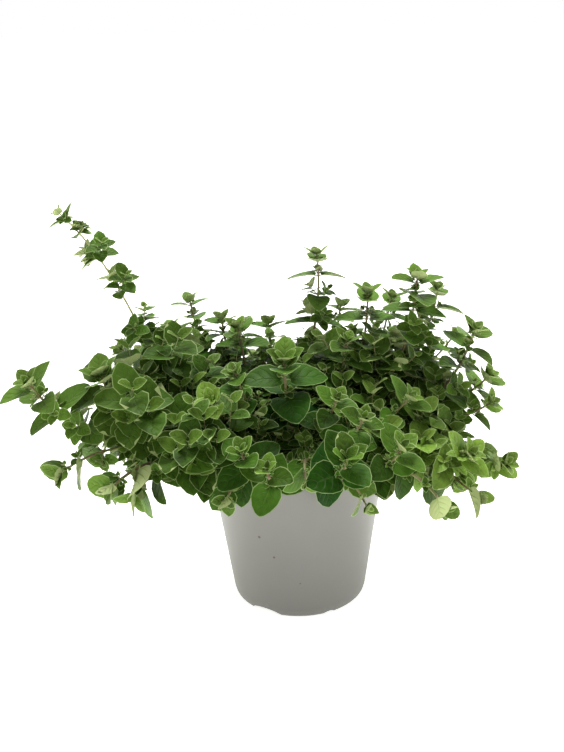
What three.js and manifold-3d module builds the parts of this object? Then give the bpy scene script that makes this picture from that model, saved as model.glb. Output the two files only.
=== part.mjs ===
// Potted oregano: a low, spreading bush of leafy stems in a light grey nursery pot.
// Millimetres, +Z up. The origin is the middle of the pot's base, on the surface that
// it stands on. The photograph looks along +Y, so -Y is the front and +X is the right.

import * as THREE from 'three';
import Module from 'manifold-3d';
import { mergeVertices } from 'three/addons/utils/BufferGeometryUtils.js';

const wasm = await Module();
wasm.setup();

const UP = new THREE.Vector3(0, 0, 1);
const QUARTER = Math.PI / 2;
const MERGE = 1e-4;
const GAP = 0.3; // between pieces that touch

// Pot: a thin-walled 13 cm nursery pot with a turned-out rim
const POT_SIDES = 24;
const WALL = 1.2;
const PAD_RADIUS = 15; // flat pad in the middle of the base
const CHANNEL_INNER = 18;
const CHANNEL_OUTER = 40;
const CHANNEL_LIFT = 5; // how far the drained ring of the base stands off the floor
const FOOT_INNER = 43;
const FOOT_OUTER = 46;
const FOOT_CHAMFER = [1.7, 1.8]; // how far out and up the foot's edge is cut off
const HEEL_RADIUS = 48.7;
const HEEL_HEIGHT = 5.2;
const LEDGE_RADIUS = 63.1;
const LEDGE_HEIGHT = 104;
const RIM_RADIUS = 65;
const RIM_HEIGHT = 111;
const RIM_DRAFT = 0.4; // how much narrower the rim band is at the ledge
const RIM_STEP = 0.5; // height of the ledge's step
const LIP = 1; // height of the eased lip
const DRAIN = { count: 6, radius: 4, circle: 29, sides: 8 };
const ARCH = { count: 3, first: -123, width: 24, height: 4.6 }; // wide gaps in the foot
const NOTCH = { count: 3, first: -65, width: 8, height: 2.4 }; // narrow gaps in the foot
const CUT_UNDER = 1; // how far below the floor the gaps' cutters start
const CUT_INNER = 42;
const CUT_OUTER = 52;

// Soil: fills the pot to a little under the rim, with a plain hole for each stem
const SOIL_SIDES = 20;
const SOIL_TOP = 97;
const SOIL_SWELL = 0.9; // how far the crumbly top rises and falls
const SOIL_WAVE = { x: 7, y: 8, start: 1 };
const SOIL_EDGE = 1; // how far the top falls to its edge
const SOIL_RINGS = [22, 44];
const SOIL_INSET = 0.9; // keeps its corners clear of the flats inside the pot

// Stems: square in section, as oregano's are, thicker on shoots with larger leaves
const FOOT_DEPTH = 10;
const STUB = 4; // upright stretch between the soil and the bend
const ROOT_SHARE = 0.28; // a stem's foot stands this share of the way out to its tip
const ROOT_LEAST = 4; // and at least this far out
const ROOT_LIMIT = 44;
const ROOT_SPACING = 5.5;
const ROOT_TURNS = [0, 9, -9, 18, -18, 27, -27, 36, -36, 45, -45, 54, -54]; // degrees, tried in this order
const ROOT_REACHES = [1, 0.85, 0.7, 0.55, 0.4];
const LEAVE_PULL = 0.45; // Bezier handles, as shares of the span
const ARRIVE_PULL = 0.35;
const SWAY = 0.1;
const TAPER = 0.55;
const NODE_HEIGHT = 1.1; // the stretch of stem that a pair of leaves grows from
const FIRST_PAIR = 1.4; // from the tip to the middle of the youngest pair
const BUD = 1.6;
const CROWDING = 0.4; // the youngest pair's share of a joint
const STRETCH = 2; // the power by which joints lengthen away from the tip
const BARE_STEP = 30; // between the rings of the stretch below its leaves, at most
const THIN = 0.55; // half the width of the thinnest stem, and what each mm of leaf adds to it
const STOUT = 0.026;
const STEM_STEP = 10; // between the cuts that test a stem's room

// Leaves: opposite pairs, each pair turned a quarter from the one before it
const BLADE = 0.75; // thickness
const WIDTH_SHARE = 0.42; // half the width of a leaf for each mm of its length
const OUTLINE = [[0.2, 0.86], [0.68, 0.88]]; // share of the length, share of the half width
const YOUNG_OUTLINE = [[0.45, 0.95]];
const RIB_AT = 0.45;
const ARCHED = 0.16; // how far a leaf's tip drops, as a share of its length
const ARCH_SPREAD = 0.8;
const CUPPED = 0.22; // how far its edges rise
const TURN_TO_LIGHT = 0.9;
const LIGHT_OUTWARD = 0.45; // leaves face up, away from the middle of the bush and to the front
const LIGHT_FRONT = 0.3;
const DROOP = 0.3;
const HANG = 0.5; // a leaf that would hang bends this far back up
const TRAIL = { from: 20, range: 40, droop: 0.8 }; // shoots that nod past level let leaves hang
const LIFT = { young: 1.25, old: 0.1, fade: 1.3, spread: 0.3 }; // rise along the stem, by pair
const SIZE = { young: 0.55, fade: 1, spread: 0.2 }; // share of the largest leaf, by pair
const SWING = 0.4; // how far leaves turn to either side
const CLEAR = 0.6; // room kept round each leaf
const OWN_CLEAR = 0.2; // and between a leaf and its own stem, past the first 2.4 mm
const OWN_START = 2.4;
const OWN_SHARE = 0.3; // or less on a short leaf: this share of its length
const ROOT_START = 0.5;
const STEM_CLEAR = 0.8;

// Other poses for a leaf that would touch something: lift, swing and scale
const POSES = [[0, 0], [0.3, 0], [-0.3, 0], [0, 0.35], [0, -0.35], [0.4, 0.4], [0.4, -0.4],
  [-0.35, 0.4], [-0.35, -0.4], [0.8, 0], [0, 0.75], [0, -0.75]];
const SCALES = [1, 0.82, 0.64];

// Shoots: the tip's place, the lean from upright at the soil, how far the tip points
// above level, the pairs of leaves, the length of the largest leaf, the joint between the
// youngest pairs, how young it is and, where the photograph shows it, how its pairs turn
const SHOOTS = [
  // front middle, with the large rosette first
  [-7, -46, 190, 24, 80, 6, 29, 2.2, 0, 15],
  [42, -76, 161, 38, 62, 4, 19, 2.1, 0.3],
  [-55, -56, 168, 40, 50, 4, 22, 2.7, 0.8],
  [-41, -34, 180, 30, 66, 4, 18, 2.1, 0.2],
  [26, -58, 168, 34, 62, 4, 19, 2.1, 0.2, 45],
  // over the front of the rim
  [-20, -98, 137, 44, 76, 4, 22, 3.3, 0.2],
  [42, -93, 108, 48, -40, 3, 20, 4, 0.5],
  [-46, -88, 114, 50, -46, 3, 24, 4, 0.1],
  [30, -96, 142, 46, 74, 5, 28, 3.3, 0, 0],
  [-36, -88, 146, 44, 74, 4, 23, 3.3, 0.1, 45],
  [4, -97, 128, 48, -36, 3, 23, 4, 0.2],
  [66, -76, 140, 48, 70, 4, 25, 3.3, 0.2, 0],
  // low on the right
  [111, -70, 132, 52, 44, 5, 25, 3.6, 0.9, 15],
  [138, -50, 116, 54, 20, 5, 25, 4, 0.8, 30],
  [92, -84, 103, 44, -40, 4, 26, 3.3, 0.2],
  [118, -64, 99, 48, -30, 4, 25, 3.6, 0.6],
  // right
  [125, 0, 194, 58, 76, 6, 24, 2.4, 0.3, 45],
  [138, 8, 158, 62, 50, 4, 22, 2.4, 0.3],
  [134, -20, 148, 60, 40, 4, 20, 2.7, 0.5],
  [76, -38, 160, 48, 50, 4, 22, 2.7, 0.2],
  [72, -4, 174, 42, 62, 4, 21, 2.4, 0.1],
  [100, 28, 178, 48, 66, 5, 22, 2.4, 0.1],
  [86, 8, 231, 40, 86, 6, 24, 2, 0.2, 0],
  [103, 26, 218, 44, 78, 6, 21, 2.4, 0.2, 45],
  [52, 10, 221, 24, 90, 4, 23, 3.3, 0.2, 75],
  // middle
  [18, 30, 244, 12, 88, 6, 22, 2.5, 0.2, 30],
  [36, -10, 192, 24, 80, 4, 23, 2.4, 0.1],
  [-39, 16, 197, 28, 80, 5, 23, 2.4, 0.1],
  // left
  [-154, 0, 284, 43, 46, 6, 15, 3.4, 0.8],
  [-172, -58, 185, 62, 62, 6, 25, 2.7, 0.2, 0],
  [-127, -46, 184, 62, 76, 3, 29, 2.2, 0.1, 90],
  [-118, -86, 124, 56, -34, 4, 29, 3.6, 0.1],
  [-156, -60, 123, 62, -25, 5, 26, 2.7, 0.2, 30],
  [-105, -86, 117, 52, -50, 3, 26, 3.6, 0.2, 15],
  [-92, -38, 158, 50, 46, 4, 26, 3, 0.1],
  [-78, -62, 141, 44, 42, 4, 26, 3.6, 0.2],
  [-103, 6, 192, 50, 62, 5, 24, 2.7, 0.1],
  [-124, 28, 180, 54, 58, 5, 21, 2.4, 0.1],
  [-142, -12, 156, 54, 36, 4, 22, 2.7, 0.2],
  [-88, 34, 192, 46, 72, 5, 22, 2.4, 0.1],
  [-76, 64, 205, 44, 82, 5, 19, 2.1, 0.2],
  [-52, 48, 195, 36, 82, 5, 20, 2.1, 0.1],
  // back
  [-18, 64, 186, 30, 80, 4, 20, 2.1, 0.1],
  [38, 86, 192, 42, 76, 5, 20, 2.1, 0.1],
  [74, 58, 204, 42, 78, 5, 21, 2.4, 0.2],
  [122, 64, 172, 54, 54, 4, 21, 2.4, 0.2],
  [80, 110, 154, 56, 36, 4, 22, 2.7, 0.2],
  [18, 128, 150, 54, 34, 4, 22, 2.7, 0.2],
  [-50, 118, 158, 54, 42, 4, 22, 2.7, 0.2],
  [-118, 92, 154, 56, 36, 4, 22, 2.7, 0.2],
  [46, 104, 122, 46, -8, 4, 22, 2.7, 0.2],
  [-26, 100, 120, 46, -6, 4, 22, 2.7, 0.2],
  [-88, 66, 132, 50, 8, 4, 22, 2.7, 0.2],
  [100, 62, 132, 50, 8, 4, 22, 2.7, 0.2],
  [0, 24, 172, 14, 70, 3, 22, 2.4, 0.1],
].map(([x, y, z, lean, nod, pairs, blade, joint, young, turn], index) => ({
  index, tip: new THREE.Vector3(x, y, z), lean, nod, pairs, blade, joint, young, turn,
}));

// Colours read from the photograph
const POT_COLOUR = '#b5b6b0';
const SOIL_COLOUR = '#3b2c22';
const MATURE_GREEN = new THREE.Color('#35591a');
const YOUNG_GREEN = new THREE.Color('#6f8f3a');

// A repeatable draw from 0 to 1 for one use on one pair of one shoot
function draw(shoot, pair, use) {
  const wave = Math.sin((shoot + 1) * 12.9898 + pair * 78.233 + use * 37.719) * 43758.5453;
  return wave - Math.floor(wave);
}

// Solids and their bounds

// Points and outward triangles of one closed body, gathered as it is stitched
class Skin {
  constructor() {
    this.points = [];
    this.faces = [];
  }

  add(point) {
    this.points.push(point);
    return this.points.length - 1;
  }

  ring(points) {
    return points.map((point) => this.add(point));
  }

  quad(a, b, c, d) {
    this.faces.push([a, b, c], [a, c, d]);
  }

  solid() {
    const vertProperties = new Float32Array(this.points.flatMap((p) => [p.x, p.y, p.z]));
    const triVerts = new Uint32Array(this.faces.flat());
    return new wasm.Manifold(new wasm.Mesh({ numProp: 3, vertProperties, triVerts }));
  }

  geometry() {
    const geometry = new THREE.BufferGeometry().setFromPoints(this.points);
    geometry.setIndex(this.faces.flat());
    geometry.computeVertexNormals();
    return geometry;
  }

  obstacle() {
    return { solid: this.solid(), box: new THREE.Box3().setFromPoints(this.points) };
  }
}

function solidOf(source) {
  source.deleteAttribute('normal');
  source.deleteAttribute('uv');
  const merged = mergeVertices(source, MERGE);
  const index = merged.index.array;
  const whole = [];
  for (let i = 0; i < index.length; i += 3) {
    const [a, b, c] = [index[i], index[i + 1], index[i + 2]];
    if (a !== b && b !== c && c !== a) {
      whole.push(a, b, c);
    }
  }
  const vertProperties = merged.attributes.position.array;
  const triVerts = new Uint32Array(whole);
  return new wasm.Manifold(new wasm.Mesh({ numProp: 3, vertProperties, triVerts }));
}

function geometryOf(solid) {
  const mesh = solid.getMesh();
  const geometry = new THREE.BufferGeometry();
  geometry.setAttribute('position', new THREE.BufferAttribute(mesh.vertProperties, 3));
  geometry.setIndex(new THREE.BufferAttribute(mesh.triVerts, 1));
  geometry.computeVertexNormals();
  return geometry;
}

function obstacleOf(solid) {
  const { min, max } = solid.boundingBox();
  return { solid, box: new THREE.Box3(new THREE.Vector3(...min), new THREE.Vector3(...max)) };
}

function touches(a, b) {
  return a.box.intersectsBox(b.box) && !a.solid.intersect(b.solid).isEmpty();
}

function isClear(candidate, obstacles) {
  return !obstacles.some((obstacle) => touches(candidate, obstacle));
}

// Turns a profile of [radius, height] round the Z axis
function turned(profile, sides) {
  const points = profile.map(([radius, height]) => new THREE.Vector2(radius, height));
  return new THREE.LatheGeometry(points, sides).rotateX(QUARTER);
}

function radians(degrees) {
  return degrees * Math.PI / 180;
}

function around(radius, degrees, height = 0) {
  const angle = radians(degrees);
  return new THREE.Vector3(radius * Math.cos(angle), radius * Math.sin(angle), height);
}

// Pot

// The outer wall's radius at a height between the heel and the ledge
function wallRadius(height) {
  const share = (height - HEEL_HEIGHT) / (LEDGE_HEIGHT - HEEL_HEIGHT);
  return HEEL_RADIUS + (LEDGE_RADIUS - HEEL_RADIUS) * share;
}

function potProfile() {
  const floor = CHANNEL_LIFT + WALL;
  const lip = RIM_HEIGHT - LIP;
  return [
    [0, 0],
    [PAD_RADIUS, 0],
    [CHANNEL_INNER, CHANNEL_LIFT],
    [CHANNEL_OUTER, CHANNEL_LIFT],
    [FOOT_INNER, 0],
    [FOOT_OUTER, 0],
    [FOOT_OUTER + FOOT_CHAMFER[0], FOOT_CHAMFER[1]],
    [HEEL_RADIUS, HEEL_HEIGHT],
    [LEDGE_RADIUS, LEDGE_HEIGHT],
    [RIM_RADIUS - RIM_DRAFT, LEDGE_HEIGHT + RIM_STEP],
    [RIM_RADIUS, lip],
    [RIM_RADIUS - WALL / 2, RIM_HEIGHT],
    [RIM_RADIUS - WALL - RIM_DRAFT, lip],
    [LEDGE_RADIUS - WALL, LEDGE_HEIGHT - RIM_STEP],
    [wallRadius(floor) - WALL, floor],
    [0, floor],
  ];
}

// An arched gap in the foot, cut outwards through the wall
function footCutter({ width, height }) {
  const shape = new THREE.Shape();
  shape.moveTo(-width / 2, -CUT_UNDER);
  shape.lineTo(width / 2, -CUT_UNDER);
  shape.absellipse(0, 0, width / 2, height, 0, Math.PI);
  const depth = CUT_OUTER - CUT_INNER;
  const geometry = new THREE.ExtrudeGeometry(shape, { depth, bevelEnabled: false, curveSegments: 4 });
  return geometry.rotateX(QUARTER).rotateZ(QUARTER).translate(CUT_INNER, 0, 0);
}

function drainCutter() {
  const { radius, sides, circle } = DRAIN;
  const geometry = new THREE.CylinderGeometry(radius, radius, 4 * CHANNEL_LIFT, sides);
  return geometry.rotateX(QUARTER).translate(circle, 0, CHANNEL_LIFT);
}

function makePot() {
  let pot = solidOf(turned(potProfile(), POT_SIDES));
  const cuts = [
    { ...ARCH, make: () => footCutter(ARCH) },
    { ...NOTCH, make: () => footCutter(NOTCH) },
    { ...DRAIN, first: 0, make: drainCutter },
  ];
  for (const { count, first, make } of cuts) {
    for (let i = 0; i < count; i += 1) {
      const cutter = make().rotateZ(radians(first + i * 360 / count));
      pot = pot.subtract(solidOf(cutter));
    }
  }
  return pot;
}

// Soil

function makeSoil() {
  const bottom = CHANNEL_LIFT + WALL + GAP;
  const inset = WALL + SOIL_INSET;
  const profile = [
    [0, bottom],
    [wallRadius(bottom) - inset, bottom],
    [wallRadius(SOIL_TOP) - inset, SOIL_TOP - SOIL_EDGE],
    ...[...SOIL_RINGS].reverse().map((radius) => [radius, SOIL_TOP]),
    [0, SOIL_TOP],
  ];
  const soil = turned(profile, SOIL_SIDES);
  const place = soil.attributes.position;
  for (let i = 0; i < place.count; i += 1) {
    if (place.getZ(i) > SOIL_TOP - 2 * SOIL_EDGE) {
      const swell = Math.sin(place.getX(i) / SOIL_WAVE.x + SOIL_WAVE.start)
        * Math.cos(place.getY(i) / SOIL_WAVE.y);
      place.setZ(i, place.getZ(i) + SOIL_SWELL * swell);
    }
  }
  return solidOf(soil);
}

// The hole that a stem's foot stands in
function holeCutter(path) {
  const width = 2 * (path.footHalf + GAP);
  const depth = FOOT_DEPTH + STUB;
  const hole = new THREE.BoxGeometry(width, width, depth);
  hole.rotateZ(Math.atan2(path.level.y, path.level.x) + path.roll);
  hole.translate(path.foot.x, path.foot.y, SOIL_TOP - FOOT_DEPTH - GAP + depth / 2);
  return solidOf(hole);
}

// Stems

// The line of a stem from the top of its upright stub to its tip: a Bezier curve that
// leaves with the shoot's lean, arrives with its nod, and sways a little to one side
function stemPath(shoot, foot) {
  const { tip } = shoot;
  const outward = new THREE.Vector3(tip.x - foot.x, tip.y - foot.y, 0).normalize();
  const level = new THREE.Vector3().crossVectors(UP, outward);
  const span = tip.distanceTo(foot);
  const sway = (2 * draw(shoot.index, 0, 1) - 1) * SWAY * span;
  const lean = radians(shoot.lean);
  const nod = radians(shoot.nod);
  const leave = foot.clone()
    .addScaledVector(outward, Math.sin(lean) * LEAVE_PULL * span)
    .addScaledVector(UP, Math.cos(lean) * LEAVE_PULL * span)
    .addScaledVector(level, sway);
  const arrive = tip.clone()
    .addScaledVector(outward, -Math.cos(nod) * ARRIVE_PULL * span)
    .addScaledVector(UP, -Math.sin(nod) * ARRIVE_PULL * span)
    .addScaledVector(level, -sway / 2);
  const curve = new THREE.CubicBezierCurve3(foot, leave, arrive, tip);
  const footHalf = THIN + STOUT * shoot.blade;
  const roll = shoot.turn === undefined ? draw(shoot.index, 0, 2) * QUARTER : radians(shoot.turn);
  return { curve, length: curve.getLength(), foot, level, footHalf, roll };
}

// The stem's centre and its three directions at a distance from the foot
function stemFrame(path, along) {
  const share = Math.min(Math.max(along / path.length, 0), 1);
  const centre = path.curve.getPointAt(share);
  const tangent = share === 0 ? UP.clone() : path.curve.getTangentAt(share);
  const side = path.level.clone().addScaledVector(tangent, -path.level.dot(tangent)).normalize();
  const other = new THREE.Vector3().crossVectors(tangent, side);
  const half = path.footHalf * (1 - (1 - TAPER) * share);
  return { centre, tangent, side, other, half };
}

// Which way a face of the square stem looks
function faceDirection(path, frame, face) {
  const angle = path.roll + face * QUARTER;
  return frame.side.clone().multiplyScalar(Math.cos(angle))
    .addScaledVector(frame.other, Math.sin(angle));
}

// The four corners of the square stem: face n lies between corners n and n + 1
function corners(path, frame, room = 0) {
  const reach = frame.half + room;
  return [0, 1, 2, 3].map((face) => {
    const out = faceDirection(path, frame, face);
    const back = faceDirection(path, frame, face + 3);
    return frame.centre.clone().addScaledVector(out, reach).addScaledVector(back, reach);
  });
}

// How far below the tip a pair of leaves stands: close together near the tip
function pairDistance(shoot, pair) {
  return Math.max(FIRST_PAIR, shoot.joint * (pair + CROWDING) ** STRETCH);
}

// Short lengths of the stem, with room round them, to keep other pieces clear of it
function stemPieces(path, room) {
  const steps = Math.ceil(path.length / STEM_STEP);
  const pieces = [];
  for (let i = 0; i < steps; i += 1) {
    const skin = new Skin();
    const low = skin.ring(corners(path, stemFrame(path, path.length * i / steps), room));
    const high = skin.ring(corners(path, stemFrame(path, path.length * (i + 1) / steps), room));
    closeTube(skin, low, high);
    pieces.push(skin.obstacle());
  }
  return pieces;
}

function wrap(skin, low, high, isOpen = () => false) {
  for (let face = 0; face < 4; face += 1) {
    if (!isOpen(face)) {
      const next = (face + 1) % 4;
      skin.quad(low[face], low[next], high[next], high[face]);
    }
  }
}

function closeTube(skin, low, high) {
  wrap(skin, low, high);
  skin.quad(low[3], low[2], low[1], low[0]);
  skin.quad(high[0], high[1], high[2], high[3]);
}

// Finds a foot for the stem, near its share of the way out, that keeps it clear of the
// pot, the soil and the stems already standing
function plantStem(shoot, planted, pot, soil) {
  const out = Math.min(Math.hypot(shoot.tip.x, shoot.tip.y) * ROOT_SHARE, ROOT_LIMIT);
  const heading = Math.atan2(shoot.tip.y, shoot.tip.x) * 180 / Math.PI;
  for (const reach of ROOT_REACHES) {
    for (const turn of ROOT_TURNS) {
      const foot = around(Math.min(out * reach + ROOT_LEAST, ROOT_LIMIT), heading + turn, SOIL_TOP + STUB);
      const apart = planted.every(({ path }) => path.foot.distanceTo(foot) > ROOT_SPACING);
      const path = stemPath(shoot, foot);
      const others = planted.flatMap(({ pieces }) => pieces);
      const roomy = apart && stemPieces(path, STEM_CLEAR);
      if (apart && roomy.every((piece) => isClear(piece, [...others, pot]))
          && roomy.slice(1).every((piece) => isClear(piece, [soil]))) {
        return { shoot, path, pieces: stemPieces(path, 0), leaves: [] };
      }
    }
  }
  throw new Error(`shoot ${shoot.index} has no clear way out of the pot`);
}

// Leaves

// One leaf of a pair: its root on the stem, its directions and its size
function planLeaf({ shoot, path }, pair, side, [lift, swing], scale) {
  const along = path.length - pairDistance(shoot, pair);
  const frame = stemFrame(path, along);
  const low = stemFrame(path, along - NODE_HEIGHT / 2);
  const high = stemFrame(path, along + NODE_HEIGHT / 2);
  const face = (pair % 2) + 2 * side;
  const out = faceDirection(path, frame, face);
  const level = new THREE.Vector3().crossVectors(frame.tangent, out);
  const use = 3 + 4 * side;
  const grown = 1 - (1 - SIZE.young) * Math.exp(-pair / SIZE.fade);
  const trail = Math.min(Math.max((TRAIL.from - shoot.nod) / TRAIL.range, 0), 1);
  const chance = [0, 1, 2, 3].map((more) => draw(shoot.index, pair, use + more) - 0.5);
  const rise = LIFT.young * Math.exp(-pair / LIFT.fade) + LIFT.old + LIFT.spread * chance[0] + lift;
  const turn = SWING * chance[1] + swing;
  const ahead = out.clone().multiplyScalar(Math.cos(turn))
    .addScaledVector(level, Math.sin(turn))
    .addScaledVector(frame.tangent, rise)
    .addScaledVector(UP, -(DROOP + TRAIL.droop * trail) * grown);
  ahead.z *= ahead.z < 0 ? HANG + (1 - HANG) * trail : 1;
  ahead.normalize();
  const light = new THREE.Vector3(frame.centre.x, frame.centre.y, 0).normalize()
    .multiplyScalar(LIGHT_OUTWARD)
    .add(new THREE.Vector3(0, -LIGHT_FRONT, 1))
    .normalize();
  const normal = new THREE.Vector3().crossVectors(ahead, level).normalize()
    .addScaledVector(light, TURN_TO_LIGHT)
    .addScaledVector(ahead, -TURN_TO_LIGHT * light.dot(ahead))
    .normalize();
  const across = new THREE.Vector3().crossVectors(normal, ahead);
  const length = shoot.blade * grown * (1 + SIZE.spread * chance[2]) * scale;
  return {
    face, pair, ahead, across, normal, length,
    half: frame.half,
    root: frame.centre.clone().addScaledVector(out, frame.half),
    lowRoot: [face, face + 1].map((corner) => corners(path, low)[corner % 4]),
    highRoot: [face, face + 1].map((corner) => corners(path, high)[corner % 4]),
    outline: pair === 0 ? YOUNG_OUTLINE : OUTLINE,
    arched: ARCHED * (1 + ARCH_SPREAD * chance[3]),
  };
}

// A point of a leaf: so far along it, so far across, and so far above its middle skin
function leafPoint(leaf, along, across, above) {
  const rise = CUPPED * Math.abs(across) - leaf.arched * along * along / leaf.length;
  return leaf.root.clone()
    .addScaledVector(leaf.ahead, along)
    .addScaledVector(leaf.across, across)
    .addScaledVector(leaf.normal, rise + above);
}

// The rim of a leaf past its root, from one side round the tip to the other
function leafRim(leaf, room) {
  const stations = leaf.outline.map(([share, width]) => (
    [share * leaf.length, width * WIDTH_SHARE * leaf.length + room]));
  const one = stations.map(([along, width]) => [along, -width]);
  const other = [...stations].reverse();
  return [...one, [leaf.length + room, 0], ...other];
}

// Stitches a blade to two corners below and two above its root. Both skins are split
// into the same triangles, fanned from the middle rib, or from the tip on a young leaf
function stitchBlade(skin, leaf, lowRoot, highRoot, room = 0) {
  const rim = leafRim(leaf, room);
  const thick = BLADE / 2 + room;
  const top = [highRoot[0], ...skin.ring(rim.map(([a, b]) => leafPoint(leaf, a, b, thick))), highRoot[1]];
  const under = [lowRoot[0], ...skin.ring(rim.map(([a, b]) => leafPoint(leaf, a, b, -thick))), lowRoot[1]];
  const size = top.length;
  const tip = (size - 1) / 2;
  const ribbed = leaf.outline.length > 1;
  const rib = RIB_AT * leaf.length;
  const topHub = ribbed ? skin.add(leafPoint(leaf, rib, 0, thick)) : top[tip];
  const underHub = ribbed ? skin.add(leafPoint(leaf, rib, 0, -thick)) : under[tip];
  for (let i = 0; i < size; i += 1) {
    const next = (i + 1) % size;
    if (ribbed || (i !== tip && next !== tip)) {
      skin.faces.push([topHub, top[i], top[next]], [underHub, under[next], under[i]]);
    }
    if (next !== 0) {
      skin.quad(top[i], under[i], under[next], top[next]);
    }
  }
}

// A closed blade that starts a little way out, for testing its room
function bladeObstacle(leaf, room, start) {
  const skin = new Skin();
  const reach = leaf.half + room;
  const thick = BLADE / 2 + room;
  const lowRoot = skin.ring([-reach, reach].map((b) => leafPoint(leaf, start, b, -thick)));
  const highRoot = skin.ring([-reach, reach].map((b) => leafPoint(leaf, start, b, thick)));
  stitchBlade(skin, leaf, lowRoot, highRoot, room);
  skin.quad(lowRoot[0], highRoot[0], highRoot[1], lowRoot[1]);
  return skin.obstacle();
}

// Puts one leaf on its stem in the first pose that touches nothing, or leaves it out
function growLeaf(stem, pair, side, obstacles) {
  for (const scale of SCALES) {
    for (const pose of POSES) {
      const leaf = planLeaf(stem, pair, side, pose, scale);
      const start = Math.min(OWN_START, OWN_SHARE * leaf.length);
      if (isClear(bladeObstacle(leaf, CLEAR, ROOT_START), obstacles)
          && isClear(bladeObstacle(leaf, OWN_CLEAR, start), stem.pieces)) {
        stem.leaves.push(leaf);
        return bladeObstacle(leaf, 0, ROOT_START);
      }
    }
  }
  return null;
}

function growLeaves(stem, planted, grown, pot, soil) {
  const others = planted.filter((other) => other !== stem).flatMap(({ pieces }) => pieces);
  for (let pair = 0; pair < stem.shoot.pairs; pair += 1) {
    for (const side of [0, 1]) {
      const blade = growLeaf(stem, pair, side, [...others, ...grown, pot, soil]);
      if (blade) {
        grown.push(blade);
      }
    }
  }
}

// One closed skin for a stem and its leaves, from the foot in the soil to the bud
function stemGeometry({ shoot, path, leaves }) {
  const skin = new Skin();
  const start = stemFrame(path, 0);
  const sunk = { ...start, centre: start.centre.clone().addScaledVector(UP, -STUB - FOOT_DEPTH) };
  let below = skin.ring(corners(path, sunk));
  skin.quad(below[3], below[2], below[1], below[0]);
  const rise = (along, isOpen) => {
    const ring = skin.ring(corners(path, stemFrame(path, along)));
    wrap(skin, below, ring, isOpen);
    below = ring;
  };
  const lowest = path.length - pairDistance(shoot, shoot.pairs - 1);
  const bareSteps = Math.ceil(lowest / BARE_STEP);
  for (let i = 0; i < bareSteps; i += 1) {
    rise(lowest * i / bareSteps);
  }
  for (let pair = shoot.pairs - 1; pair >= 0; pair -= 1) {
    const along = path.length - pairDistance(shoot, pair);
    const here = leaves.filter((leaf) => leaf.pair === pair);
    rise(along - NODE_HEIGHT / 2);
    const low = below;
    rise(along + NODE_HEIGHT / 2, (face) => here.some((leaf) => leaf.face === face));
    for (const leaf of here) {
      const next = (leaf.face + 1) % 4;
      stitchBlade(skin, leaf, [low[leaf.face], low[next]], [below[leaf.face], below[next]]);
    }
  }
  const end = stemFrame(path, path.length);
  const bud = skin.add(end.centre.clone().addScaledVector(end.tangent, BUD));
  for (let face = 0; face < 4; face += 1) {
    skin.faces.push([below[face], below[(face + 1) % 4], bud]);
  }
  return skin.geometry();
}

// Assembly

function piece(name, geometry, color, roughness) {
  const material = new THREE.MeshStandardMaterial({ color, roughness, metalness: 0 });
  const mesh = new THREE.Mesh(geometry, material);
  mesh.name = name;
  return mesh;
}

const potSolid = makePot();
const soilSolid = makeSoil();
const potObstacle = obstacleOf(potSolid);
const soilObstacle = obstacleOf(soilSolid);

const planted = [];
for (const shoot of SHOOTS) {
  planted.push(plantStem(shoot, planted, potObstacle, soilObstacle));
}

const grown = [];
for (const stem of planted) {
  growLeaves(stem, planted, grown, potObstacle, soilObstacle);
}

const drilled = planted.reduce((soil, { path }) => soil.subtract(holeCutter(path)), soilSolid);

const oregano = new THREE.Group();
oregano.add(piece('pot', geometryOf(potSolid), POT_COLOUR, 0.55));
oregano.add(piece('potting_soil', geometryOf(drilled), SOIL_COLOUR, 0.95));
for (const stem of planted) {
  const name = `leafy_stem_${String(stem.shoot.index + 1).padStart(2, '0')}`;
  const green = MATURE_GREEN.clone().lerp(YOUNG_GREEN, stem.shoot.young);
  oregano.add(piece(name, stemGeometry(stem), green, 0.6));
}

export default oregano;
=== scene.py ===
# Potted oregano: the fine surfaces and finishes of a low, spreading bush in a light grey
# nursery pot. The stems, leaves, pot and soil follow the fixed frame's own plan, worked out
# in millimetres here and put into the meshes in metres. -Y is the front and +X the right.

import math
from functools import partial
from types import SimpleNamespace

import bpy
import numpy as np
from bpy.props import FloatProperty, FloatVectorProperty, IntProperty, PointerProperty
from mathutils import Matrix, Vector


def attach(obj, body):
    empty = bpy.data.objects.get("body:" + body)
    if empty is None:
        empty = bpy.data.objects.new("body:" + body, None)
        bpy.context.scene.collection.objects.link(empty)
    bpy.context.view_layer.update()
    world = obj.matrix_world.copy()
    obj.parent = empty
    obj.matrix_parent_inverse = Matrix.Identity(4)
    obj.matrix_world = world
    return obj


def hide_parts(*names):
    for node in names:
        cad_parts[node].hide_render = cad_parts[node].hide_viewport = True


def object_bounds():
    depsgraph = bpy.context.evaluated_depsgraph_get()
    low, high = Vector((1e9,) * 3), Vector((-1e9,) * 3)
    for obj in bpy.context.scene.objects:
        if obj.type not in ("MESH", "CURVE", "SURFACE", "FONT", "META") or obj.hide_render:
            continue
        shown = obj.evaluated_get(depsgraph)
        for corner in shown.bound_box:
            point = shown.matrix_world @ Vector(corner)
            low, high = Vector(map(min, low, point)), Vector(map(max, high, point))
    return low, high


bl_info = {
    "name": "Potted Oregano",
    "version": (1, 0, 0),
    "blender": (4, 5, 0),
    "location": "View3D > Sidebar > Oregano",
    "description": "Builds a leafy potted oregano over its fixed frame",
    "category": "Add Mesh",
}

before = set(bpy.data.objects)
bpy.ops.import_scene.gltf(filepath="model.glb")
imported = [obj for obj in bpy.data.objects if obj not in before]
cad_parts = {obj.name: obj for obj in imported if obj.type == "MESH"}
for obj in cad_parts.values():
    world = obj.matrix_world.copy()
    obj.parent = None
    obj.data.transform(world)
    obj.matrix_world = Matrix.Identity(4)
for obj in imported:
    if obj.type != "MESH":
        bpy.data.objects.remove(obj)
CAD_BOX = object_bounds()

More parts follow.
